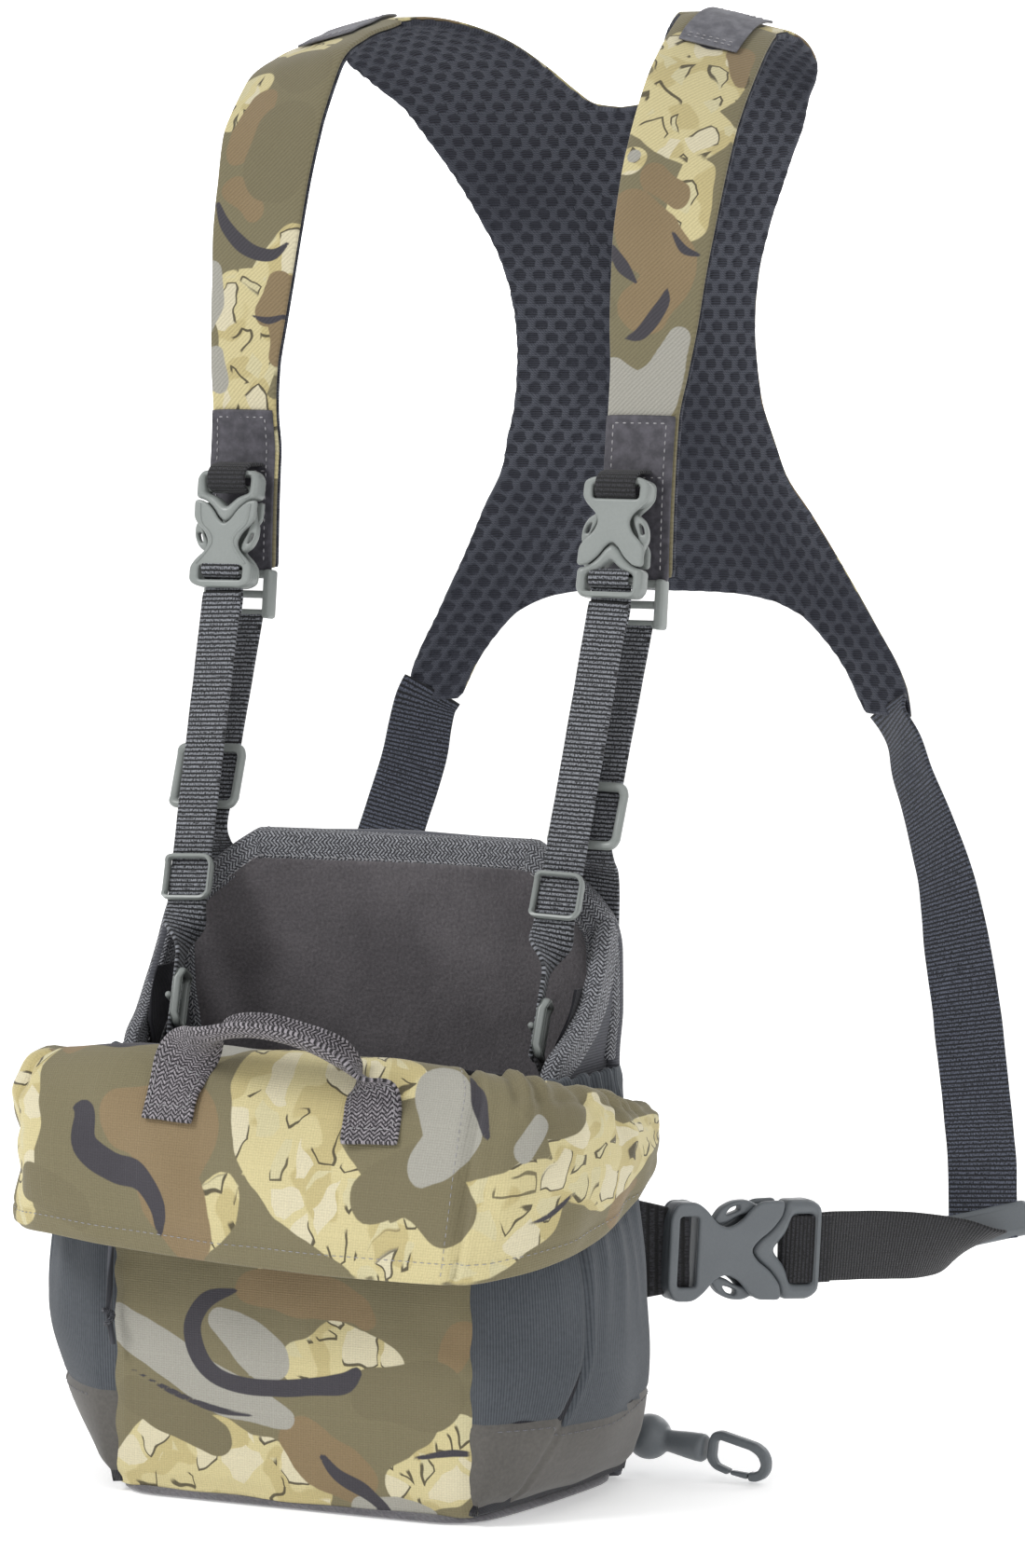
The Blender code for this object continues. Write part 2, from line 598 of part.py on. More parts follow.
def yoke(name, t0, t1, colour, n=(4, 9, 6, 3, 6)):
    rows, A0, A1 = yoke_rows(*n)
    n_low, n_mid, n_up = n[0], n[1], n[2]
    verts, faces, idx = [], [], {}
    for r, row in enumerate(rows):
        for c, xs in enumerate(row):
            if xs is None:
                continue
            idx[(r, c)] = len(verts) // 2
            verts.append(on_harness(xs[0], xs[1], t0)[:])
            verts.append(on_harness(xs[0], xs[1], t1)[:])
    edges = set()
    for r in range(len(rows) - 1):
        for c in range(len(rows[0]) - 1):
            q = [(r, c), (r + 1, c), (r + 1, c + 1), (r, c + 1)]
            if any(k not in idx for k in q):
                continue
            if A0 <= c < A1 and (r < n_low or r >= n_low + n_mid):
                continue
            q = [idx[k] for k in q]
            faces.append([2 * v for v in q])
            faces.append([2 * v + 1 for v in q][::-1])
            for a, b in zip(q, q[1:] + q[:1]):
                edges.add((a, b))
    for a, b in edges:
        if (b, a) not in edges:
            faces.append([2 * b, 2 * a, 2 * a + 1, 2 * b + 1])
    return emit(name, verts, faces, colour, 0.9)


yoke("yoke_mesh", 0.0, MESH_T, MESHCOL)
yoke("yoke_cover", MESH_T + GAP, MESH_T + GAP + COVER_T, CAMO)

for side, tag in ((1, "R"), (-1, "L")):
    def strap_grid(s0, s1, n, cols, off, inset=0.0, order=1):
        P = []
        for i in range(n + 1):
            s = s0 + (s1 - s0) * i / n
            xi, xo = table(STRAP_EDGE, s, 1) + inset, table(STRAP_EDGE, s, 2) - inset
            if side < 0:
                xo -= table([(385, 0), (410, 3.2), (460, 3.6), (491, 1.6), (505, 0)], s)
            P.append([on_harness(side * (xi + (xo - xi) * c / cols), s, off) for c in range(cols + 1)])
        return P
    sgn = 1 if side > 0 else -1
    sheet("strap_" + tag, strap_grid(STRAP_FROM, STRAP_TO, 20, 2, 0.0), 0, sgn * (MESH_T + COVER_T), CAMO)
    tab = strap_grid(TAB_FROM, STRAP_TO + 1.5, 6, 2, MESH_T + COVER_T + GAP, 0.2)
    sheet("leather_tab_" + tag, tab, 0, sgn * 1.5, LEATHER)
    P = []
    for i in range(7):
        s = 311 + 32 * i / 6
        P.append([on_harness(side * (65.5 + 22 * c / 2), s, MESH_T + COVER_T + 2.5 * GAP) for c in range(3)])
    sheet("shoulder_patch_" + tag, P, 0, sgn * 1.4, LEATHER)


# --------------------------------------------------------------- hardware ----
def axes(d, w):
    """Frame axes: v along d, u across (near w), n out of the face."""
    v = d.normalized()
    u = (w - v * w.dot(v)).normalized()
    return u, v, u.cross(v)


def triglide(name, c, d, w, webw, width, height, bar=3.0, rail=None, half=2.6, clear=0.5):
    """Slider: side rails, top and bottom bars in front of the webbing and a
    middle bar behind it. The webbing's mid surface is at depth 0."""
    u, v, n = axes(d, w)
    a, b = webw / 2 + 0.5, width / 2
    h = height / 2
    near = WEB_T / 2 + clear
    xs = [-b, -a, a, b]
    ys = [-h, -h + bar, -bar * 0.55, bar * 0.55, h - bar, h]
    zs = [-half - clear, -near, near, half + clear]

    def solid(i, j, k):
        if i in (0, 2):
            return True
        if k == 2:
            return j in (0, 4)
        if k == 0:
            return j == 2
        return False
    return blocks(name, xs, ys, zs, solid, (c, u, v, n), PLASTIC)


def side_release(prefix, tag, c, d, w, W, L, T, male_first, parts=True):
    """Side-release buckle centred at c. d runs from the female's webbing end
    to the male's; w is the width direction. W, L, T: width, length, thickness."""
    u, v, n = axes(d, w)
    fr = (c, u, v, n)
    hl, hw, ht = L / 2, W / 2, T / 2
    wall = T * 0.22
    f0, f1 = -hl, hl * 0.50                   # female's span along v
    # female: an X-shaped shell, its ring end a solid block with a webbing slot
    blk = f0 + L * 0.20
    right = [(hw * 0.82, f0 + 0.5), (hw, f0 + L * .07), (hw * .98, blk), (hw * .62, f0 + L * .30), (hw * .50, f0 + L * .38),
             (hw * .62, f0 + L * .47), (hw * .86, f0 + L * .54), (hw * .98, f0 + L * .60), (hw, f1)]
    mouth = [(hw * .62, f1 - L * .02), (hw * .36, f1 - L * .10), (hw * .18, f1 - L * .17), (-hw * .18, f1 - L * .17),
             (-hw * .36, f1 - L * .10), (-hw * .62, f1 - L * .02)]
    left = [(-x, y) for x, y in right[::-1]]
    outline = right + mouth + left            # counter-clockwise from the lower right
    a = len(outline) - 3                      # block: from the left edge, round the end, to the right edge
    b = 2
    slot = [(-hw * .74, f0 + L * .055), (-hw * .74, f0 + L * .125), (hw * .74, f0 + L * .125), (hw * .74, f0 + L * .055)]
    clam(prefix + "_female_" + tag, outline, a, b, [slot], [-ht, -ht + wall, ht - wall, ht], fr, PLASTIC)
    # male: webbing frame, with a tongue that goes into the female
    m0 = f1 + 0.5
    tongue_w = hw * 0.14
    inner = -hl + L * .36
    male = [(hw * .98, m0), (hw, hl - L * .05), (hw * .80, hl), (-hw * .80, hl), (-hw, hl - L * .05), (-hw * .98, m0),
            (-hw * .60, m0 - L * .02 + .2), (-hw * .34, m0 - L * .10 + .2), (-hw * .16, m0 - L * .13),
            (-tongue_w, inner), (tongue_w, inner), (hw * .16, m0 - L * .13), (hw * .34, m0 - L * .10 + .2),
            (hw * .60, m0 - L * .02 + .2)]
    s0 = m0 + L * .035
    slots = [[(-hw * .74, s0), (-hw * .74, s0 + L * .055), (hw * .74, s0 + L * .055), (hw * .74, s0)],
             [(-hw * .74, s0 + L * .10), (-hw * .74, hl - L * .045), (hw * .74, hl - L * .045), (hw * .74, s0 + L * .10)]]
    th = ht - wall - 0.35
    plate(prefix + "_male_" + tag, [male] + slots, -th, th, fr, PLASTIC)
    # two latch arms lying in the female's side windows
    for k, nm in ((1, "latch_a"), (-1, "latch_b")):
        arm = [(hw * .84, m0 - L * .035), (hw * .93, f0 + L * .56), (hw * .99, f0 + L * .50), (hw * .95, f0 + L * .43),
               (hw * .80, f0 + L * .345), (hw * .58, f0 + L * .31), (hw * .56, f0 + L * .40),
               (hw * .68, f0 + L * .46), (hw * .74, f0 + L * .54), (hw * .66, m0 - L * .05)]
        if k < 0:
            arm = [(-x, y) for x, y in arm[::-1]]
        plate(prefix + "_" + nm + "_" + tag, [arm], -th, th, fr, PLASTIC)
        PIVOT[prefix + "_" + nm + "_" + tag] = c + u * (k * hw * .76) + v * (m0 - L * .05)
    return fr, m0


for side, tag in ((1, "R"), (-1, "L")):
    S = V(side, 1, 1)

    def sx(x, y, z):
        return V(side * x, y, z)
    # main webbing: ladder lock, down through the slider, behind the back panel
    X = V(1, 0, 0)
    def on_line(z):
        return sx(77.2 - .0205 * (299.6 - z), 54.4 - .423 * (299.6 - z), z)
    route = [on_line(299.6), on_line(275), on_line(251), on_line(238), on_line(227.5),
             sx(75.85, 25.9, 221.6), sx(75.8, 30.6, 216.6), sx(75.6, 32.4, 209),
             V(side * 75.5, back_y(194, 75) + 1.5, 194), V(side * 75.5, back_y(172, 75) + 1.5, 172)]
    XB = V(1, -.16 * side, 0)
    strip("main_webbing_" + tag, list(zip(route, [X, X, X, X, X, X.lerp(XB, .5), XB, XB, XB, XB])), MAIN_W, -WEB_T / 2, WEB_T / 2, WEB, 3)
    sc = on_line(235.8 if side > 0 else 243.5)
    PIVOT["main_slider_" + tag] = sc
    triglide("main_slider_" + tag, sc, on_line(299.6) - on_line(227.5), X, MAIN_W, 27.5, 24.5, 3.2, half=2.4, clear=0.9)
    # ladder lock at the strap's end
    lc = sx(77.6, 57.2, 308.6)
    u, v, n = axes(V(0, .12, 1), X)
    plate("ladder_lock_" + tag,
          [[(-11.5, -8.2), (11.5, -8.2), (13.4, -6), (13.4, 6), (11.5, 8.2), (-11.5, 8.2), (-13.4, 6), (-13.4, -6)],
           [(-10.6, -5.0), (-10.6, -1.6), (10.6, -1.6), (10.6, -5.0)], [(-10.6, 1.4), (-10.6, 5.4), (10.6, 5.4), (10.6, 1.4)]],
          -1.9, 1.9, (lc, u, v, n), PLASTIC)
    # tether: buckle on the leather tab, webbing, keeper, lower slider
    d = sx(77, 51.0, 353) - sx(76.7, 42.6, 311.5)
    bc = sx(76.9, 46.8, 332.2)
    if side < 0:
        side_release("tether_buckle", tag, bc, d, X, 25.5, 43, 7.6, True)       # male on top
    else:
        side_release("tether_buckle", tag, bc, -d, X, 25.5, 43, 7.6, False)     # female on top
    # the tether webbing turns a quarter below the keeper, so the lower slider stands edge-on to the front
    t0, kp, t1 = sx(76.6, 41.6, 309.5), sx(72.6, 8.6, 209.5), sx(71.0, -6.5, 163.0)
    dt, dl = (t0 - kp).normalized(), (kp - t1).normalized()
    Y = V(-.32, .95, 0)
    tr = [(t0.lerp(kp, k / 5), X) for k in range(5)] + [(kp - dt * 8, X), (kp - dt * 9 - dl * 4, X.lerp(Y, .18)),
          (kp - dt * 9 - dl * 11, X.lerp(Y, .62)), (kp - dt * 9 - dl * 17, X.lerp(Y, .94)), (kp - dt * 9 - dl * 21, Y)]
    tr += [(tr[-1][0].lerp(t1 - dl * 8, k / 3), Y) for k in (1, 2, 3)]
    strip("tether_webbing_" + tag, tr, TETHER_W, -WEB_T / 2, WEB_T / 2, WEB, 2)
    PIVOT["tether_keeper_" + tag] = kp
    triglide("tether_keeper_" + tag, kp, dt, X, TETHER_W, 20.5, 18.0, 2.6, half=1.9, clear=0.8)
    triglide("tether_lock_" + tag, t1 + dl * (2.0 if side > 0 else 5.0), dl, Y, TETHER_W, 19.0, 21.0, 2.6, half=1.9, clear=0.8)

# waist straps: from the yoke's tip to a slider beside the wearer, then back to
# the buckle on the pack's rear corner
WAIST_R = [V(99.3, 253.7, 254.6), V(104.6, 251.4, 245.5), V(110.4, 247.4, 233), V(118.9, 242.5, 216), V(128.6, 236, 193.7),
           V(139.5, 225, 157.9), V(145.7, 217, 137.1), V(151.9, 208, 116.1), V(158.0, 197.4, 98), V(159.93, 193.46, 84),
           V(161.37, 190.52, 73.5), V(162.6, 188.0, 64.5)]
WAIST_W_R = [V(.75, -.66, 0), V(.78, -.62, 0), V(.82, -.57, 0), V(.89, -.45, 0), V(.96, -.25, 0), V(.96, .25, 0),
             V(.93, .36, 0), V(.90, .43, 0), V(.90, .43, 0), V(.90, .43, 0), V(.90, .43, 0), V(.89, .43, .05)]
RETURN_R = [V(161.2, 183.6, 59.2), V(157.6, 176.0, 58.8), V(154.2, 168.0, 61.5), V(149.5, 155, 66), V(142.5, 136, 71.5), V(133.6, 111.5, 76.0)]
RETURN_W = [V(.85, .40, .3), V(.75, .35, .55), V(.6, .3, .75), V(.35, .17, .92), V(.1, .05, 1), V(.03, .0, 1)]
BUCKLE_F, BUCKLE_M = V(92.5, 54.0, 80.0), V(131.0, 102.6, 76.6)
for side, tag in ((1, "R"), (-1, "L")):
    def mir(p, bump=0.0):
        return V(side * (p.x - (bump if side < 0 else 0.0)), p.y, p.z)

    def mw(w):
        return V(w.x, side * w.y, side * w.z) if side < 0 else w
    bumps = [0, 4, 9, 14, 18, 15, 11, 7, 3, 1, 0, 0]
    pts = [(mir(p, b), mw(w)) for p, b, w in zip(WAIST_R, bumps, WAIST_W_R)]
    ret = [(mir(p), mw(w)) for p, w in zip(RETURN_R, RETURN_W)]
    strip("waist_webbing_" + tag, pts + ret, WAIST_W, -WEB_T / 2, WEB_T / 2, WEB, 2)
    # slider at the turn, edge-on to the front
    F, M = mir(BUCKLE_F), mir(BUCKLE_M)
    d = (M - F).normalized()
    td, tw = (pts[10][0] - pts[11][0]).normalized(), pts[10][1].normalized()
    PIVOT["waist_slider_" + tag] = pts[10][0]
    triglide("waist_slider_" + tag, pts[10][0], td - tw * .21 * side, tw + td * .21 * side, WAIST_W + 4, 36.5, 13.0, 2.6, half=2.2, clear=1.2)
    side_release("waist_buckle", tag, (F + M) / 2, d, V(0, 0, 1), 36.0, (M - F).length, 9.6, True)
    # fabric tab from the pack's rear corner to the buckle's ring
    r0 = V(side * 86.5, 46.2, 81.0)
    r1 = F - d * 1.2
    P = []
    for i in range(5):
        f = i / 4
        c0 = r0.lerp(r1, f)
        hh = 18.5 - 4.5 * f
        P.append([c0 + V(0, 0, -hh), c0, c0 + V(0, 0, hh)])
    sheet("waist_tab_" + tag, P, -0.9, 0.9, ZIPCOL)

# ------------------------------------------------------- stabiliser hook ----
BALL = V(85.7, 57.5, 12.3)
HOOK0, HOOK1 = V(109.5, 56.0, 10.0), V(135.5, 54.0, 6.9)
cc = catmull([V(67.5, back_y(20) + 1.0, 20), V(70, 50.5, 18.8), V(73.5, 55.2, 16.0), V(76.2, 57.2, 13.8)], 4)
cord("stabiliser_cord", cc, 1.5, ZIPCOL)
ax = (HOOK0 - BALL).normalized()
turned("stabiliser_ball", BALL - ax * 8.0, HOOK0 - ax * 0.5,
       [(0, 2.2), (.03, 3.9), (.07, 6.0), (.14, 7.5), (.247, 8.15), (.35, 7.5), (.42, 6.0), (.46, 4.4), (.50, 3.6),
        (.55, 4.1), (.88, 5.0), (.96, 4.4), (1, 3.6)], PLASTIC, 14)
# swivel hook: flat and standing on its edge in the sleeve's end
d = (HOOK1 - HOOK0).normalized()
up = (V(0, 0, 1) - d * d.z).normalized()
nn = d.cross(up)
fr = (HOOK0, d, up, -nn)
hook_out = [(0, -3.4), (3.0, -6.2), (8.5, -7.2), (9.4, -6.2), (9.4, -5.2), (4.4, -4.2), (3.0, -2.2), (3.0, 3.4), (4.4, 4.6), (17, 3.4),
            (20.0, 2.0), (21.6, -.8), (20.6, -3.2), (18.4, -4.3), (17.0, -4.4), (17.0, -7.6), (20, -7.4), (23.2, -5.6),
            (24.8, -2.6), (24.6, 1.4), (22.6, 4.6), (19, 6.4), (4, 7.8), (1.2, 6.6), (0, 3.4)]
plate("snap_hook", [hook_out], -1.7, 1.7, fr, PLASTIC)
gate = [(9.8, -6.9), (16.6, -7.2), (16.6, -5.0), (9.8, -5.4)]
plate("snap_gate", [gate], -1.3, 1.3, fr, PLASTIC)

# ---------------------------------------- origins of the moving pieces ----
PIVOT["hood_shell"] = PIVOT["hood_handle"] = V(0, HINGE_Y, HINGE_Z)
PIVOT["zip_slider"] = PIVOT["zip_pull_cord"] = V(zx, zy, ZIP_Z)
PIVOT["snap_hook"] = HOOK0
PIVOT["snap_gate"] = HOOK0 + d * 9.8 + up * -6.1
for name, p in PIVOT.items():
    ob = bpy.data.objects[name]
    ob.data.transform(Matrix.Translation(-p * MM))
    ob.location = p * MM
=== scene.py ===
"""Looks for the binocular harness pack: soft goods, webbing, hardware and studio.
All shapes are worked out here in millimetres and written in metres."""
import math
import bmesh
import bpy
import numpy as np
from mathutils import Matrix, Vector


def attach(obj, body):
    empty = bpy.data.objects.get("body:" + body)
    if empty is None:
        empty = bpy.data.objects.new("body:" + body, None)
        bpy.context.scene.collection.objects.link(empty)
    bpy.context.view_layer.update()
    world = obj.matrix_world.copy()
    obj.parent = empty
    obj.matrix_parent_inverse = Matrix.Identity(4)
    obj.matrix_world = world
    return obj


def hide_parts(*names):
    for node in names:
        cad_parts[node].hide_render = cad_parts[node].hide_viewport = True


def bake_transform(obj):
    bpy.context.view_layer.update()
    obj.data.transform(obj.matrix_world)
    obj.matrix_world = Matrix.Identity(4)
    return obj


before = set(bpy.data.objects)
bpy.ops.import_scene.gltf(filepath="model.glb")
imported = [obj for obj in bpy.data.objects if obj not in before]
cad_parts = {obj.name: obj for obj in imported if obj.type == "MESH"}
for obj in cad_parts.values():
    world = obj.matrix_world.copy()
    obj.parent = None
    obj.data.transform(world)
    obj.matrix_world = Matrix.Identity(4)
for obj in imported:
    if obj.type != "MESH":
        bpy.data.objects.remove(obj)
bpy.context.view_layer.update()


MM = 0.001
PI = math.pi
A3 = np.array


# ------------------------------------------------------------- numbers ----
def pchip(xs, ys, x):
    xs, ys = np.asarray(xs, float), np.asarray(ys, float)
    h = np.diff(xs)
    d = np.diff(ys) / h
    m = np.zeros_like(ys)
    for i in range(1, len(xs) - 1):
        if d[i - 1] * d[i] > 0:
            w1, w2 = 2 * h[i] + h[i - 1], h[i] + 2 * h[i - 1]
            m[i] = (w1 + w2) / (w1 / d[i - 1] + w2 / d[i])
    m[0], m[-1] = d[0], d[-1]
    x = np.clip(np.asarray(x, float), xs[0], xs[-1])
    k = np.clip(np.searchsorted(xs, x, side="right") - 1, 0, len(xs) - 2)
    t = (x - xs[k]) / h[k]
    a, b = ys[k], ys[k + 1]
    return (a * (2 * t**3 - 3 * t**2 + 1) + h[k] * m[k] * (t**3 - 2 * t**2 + t)
            + b * (3 * t**2 - 2 * t**3) + h[k] * m[k + 1] * (t**3 - t**2))


def T(rows, t, col=1):
    r = np.array(rows, float)
    return pchip(r[:, 0], r[:, col], t)


def cat(pts, n):
    """Catmull-Rom through rows of numbers, n steps a span."""
    p = np.array(pts, float)
    q = np.vstack([p[:1], p, p[-1:]])
    out = []
    for i in range(1, len(q) - 2):
        t = (np.arange(n) / n)[:, None]
        a, b, c, d = q[i - 1], q[i], q[i + 1], q[i + 2]
        out.append(0.5 * (2 * b + (c - a) * t + (2 * a - 5 * b + 4 * c - d) * t**2 + (d - a - 3 * c + 3 * b) * t**3))
    return np.vstack(out + [p[-1:]])


def even(p, step):
    """Points along p at even arc steps, and their arc lengths."""
    s = np.concatenate([[0], np.cumsum(np.linalg.norm(np.diff(p[:, :3], axis=0), axis=1))])
    n = max(2, int(round(s[-1] / step)) + 1)
    t = np.linspace(0, s[-1], n)
    return np.stack([np.interp(t, s, p[:, k]) for k in range(p.shape[1])], 1), t


def unit(v):
    v = np.asarray(v, float)
    return v / np.maximum(np.linalg.norm(v, axis=-1, keepdims=True), 1e-12)


def wob(u, v, scale, seed=0, n=9):
    """Smooth wandering surface about -1..1 with features near scale."""
    r = np.random.default_rng(seed + 1000)
    out = np.zeros(np.broadcast(u, v).shape)
    for _ in range(n):
        a = r.uniform(0, 2 * PI)
        k = 2 * PI / (scale * r.uniform(.7, 1.9))
        out = out + np.sin(k * (u * math.cos(a) + v * math.sin(a)) + r.uniform(0, 2 * PI))
    return out / math.sqrt(n) * .8


def step01(x):
    x = np.clip(x, 0, 1)
    return x * x * (3 - 2 * x)


def stroke(U, W, pts):
    """Distance in mm to a chain of (u, v, radius); negative inside."""
    d = np.full(U.shape, 1e3)
    if len(pts) == 1:
        pts = [pts[0], (pts[0][0] + .01, pts[0][1], pts[0][2])]
    elif len(pts) > 2:
        pts = [tuple(p) for p in cat(pts, 6)]
    for a, b in zip(pts, pts[1:]):
        ax, ay = U - a[0], W - a[1]
        bx, by = b[0] - a[0], b[1] - a[1]
        h = np.clip((ax * bx + ay * by) / (bx * bx + by * by + 1e-9), 0, 1)
        d = np.minimum(d, np.hypot(ax - h * bx, ay - h * by) - (a[2] + (b[2] - a[2]) * h))
    return d


def camo_fields(U, W, plan):
    """plan: {layer: [chains]} with layers tan, brown, grey, dark, olive."""
    out = {}
    for k in ("tan", "brown", "grey", "dark", "olive"):
        d = np.full(U.shape, 60.0)
        for c in plan.get(k, []):
            d = np.minimum(d, stroke(U, W, c))
        out["c_" + k] = np.clip(d, -60, 60)
    return out


def random_plan(seed, u0, u1, v0, v1, dens=1.0):
    r = np.random.default_rng(seed)
    area = (u1 - u0) * (v1 - v0)
    plan = {"tan": [], "brown": [], "grey": [], "dark": [], "olive": []}

    def chain(n, rad, hop):
        u, v, a = r.uniform(u0, u1), r.uniform(v0, v1), r.uniform(0, 2 * PI)
        pts = []
        for _ in range(n):
            pts.append((u, v, rad * r.uniform(.6, 1.2)))
            a += r.uniform(-.9, .9)
            u, v = u + hop * math.cos(a), v + hop * math.sin(a)
        return pts
    for k, n, rad, hop, per in (("tan", 4, 14, 17, 4200), ("brown", 3, 10, 13, 4600), ("grey", 3, 7, 10, 9000), ("olive", 2, 7, 9, 9000)):
        for _ in range(max(1, int(area / per * dens))):
            plan[k].append(chain(n, rad, hop))
    for _ in range(max(1, int(area / 3600 * dens))):
        c = chain(4, 2.3, 9)
        c[0], c[-1] = c[0][:2] + (.8,), c[-1][:2] + (.8,)
        plan["dark"].append(c)
    return plan


# ------------------------------------------------------------ materials ----
def lin(c):
    return tuple(((x / 255) / 12.92 if x <= 10 else (((x / 255) + .055) / 1.055) ** 2.4) for x in c) + (1.0,)


class NB:
    """A material and short names for its nodes."""

    def __init__(s, name, rough=.85, spec=.3):
        s.m = bpy.data.materials.new(name)
        s.m.use_nodes = True
        s.t = s.m.node_tree
        s.b = s.t.nodes["Principled BSDF"]
        s.b.inputs["Roughness"].default_value = rough
        s.b.inputs["Specular IOR Level"].default_value = spec

    def put(s, sock, v):
        if isinstance(v, bpy.types.NodeSocket):
            s.t.links.new(v, sock)
        elif isinstance(v, (tuple, list)) and sock.type == "VECTOR":
            sock.default_value = tuple(v)[:3]
        else:
            sock.default_value = v

    def math(s, op, a, b=0.0, c=0.0, clamp=False):
        n = s.t.nodes.new("ShaderNodeMath")
        n.operation, n.use_clamp = op, clamp
        for i, v in enumerate((a, b, c)):
            s.put(n.inputs[i], v)
        return n.outputs[0]

    def vmath(s, op, a, b=(0, 0, 0), scale=None):
        n = s.t.nodes.new("ShaderNodeVectorMath")
        n.operation = op
        s.put(n.inputs[0], a)
        if scale is None:
            s.put(n.inputs[1], b)
        else:
            s.put(n.inputs["Scale"], scale)
        return n.outputs["Value"] if op in ("LENGTH", "DISTANCE", "DOT_PRODUCT") else n.outputs[0]

    def mix(s, f, a, b, kind="MIX"):
        n = s.t.nodes.new("ShaderNodeMix")
        n.data_type, n.blend_type = "RGBA", kind
        s.put(n.inputs[0], f)
        s.put(n.inputs[6], a)
        s.put(n.inputs[7], b)
        return n.outputs[2]

    def step(s, v, lo, hi):
        n = s.t.nodes.new("ShaderNodeMapRange")
        n.interpolation_type = "SMOOTHSTEP"
        s.put(n.inputs[0], v)
        s.put(n.inputs[1], lo)
        s.put(n.inputs[2], hi)
        return n.outputs[0]

    def uv(s):
        return s.t.nodes.new("ShaderNodeUVMap").outputs[0]

    def obj(s):
        return s.t.nodes.new("ShaderNodeTexCoord").outputs["Object"]

    def attr(s, name):
        n = s.t.nodes.new("ShaderNodeAttribute")
        n.attribute_name = name
        return n.outputs["Fac"]

    def sep(s, v):
        n = s.t.nodes.new("ShaderNodeSeparateXYZ")
        s.put(n.inputs[0], v)
        return n.outputs[0], n.outputs[1], n.outputs[2]

    def xyz(s, x, y, z=0.0):
        n = s.t.nodes.new("ShaderNodeCombineXYZ")
        for i, v in enumerate((x, y, z)):
            s.put(n.inputs[i], v)
        return n.outputs[0]

    def noise(s, vec, scale, detail=2.0, rough=.5, colour=False):
        n = s.t.nodes.new("ShaderNodeTexNoise")
        s.put(n.inputs["Vector"], vec)
        n.inputs["Scale"].default_value = scale
        n.inputs["Detail"].default_value = detail
        n.inputs["Roughness"].default_value = rough
        return n.outputs["Color"] if colour else n.outputs[0]

    def voronoi(s, vec, scale, rnd=.8):
        n = s.t.nodes.new("ShaderNodeTexVoronoi")
        s.put(n.inputs["Vector"], vec)
        n.inputs["Scale"].default_value = scale
        n.inputs["Randomness"].default_value = rnd
        return n

    def wave(s, v, pitch, sharp=1.0):
        """0..1 rounded ridges along a length v in mm."""
        a = s.math("MULTIPLY", v, PI / pitch)
        return s.math("POWER", s.math("ABSOLUTE", s.math("SINE", a)), sharp)

    def bump(s, h, dist=.3, strength=1.0, normal=None):
        n = s.t.nodes.new("ShaderNodeBump")
        n.inputs["Strength"].default_value = strength
        n.inputs["Distance"].default_value = dist * MM
        s.put(n.inputs["Height"], h)
        if normal is not None:
            s.put(n.inputs["Normal"], normal)
        return n.outputs[0]

    def done(s, colour, rough=None, normal=None, sheen=0.0):
        s.put(s.b.inputs["Base Color"], colour)
        if rough is not None:
            s.put(s.b.inputs["Roughness"], rough)
        if normal is not None:
            s.put(s.b.inputs["Normal"], normal)
        if sheen:
            s.b.inputs["Sheen Weight"].default_value = sheen
            s.b.inputs["Sheen Roughness"].default_value = .5
        return s.m


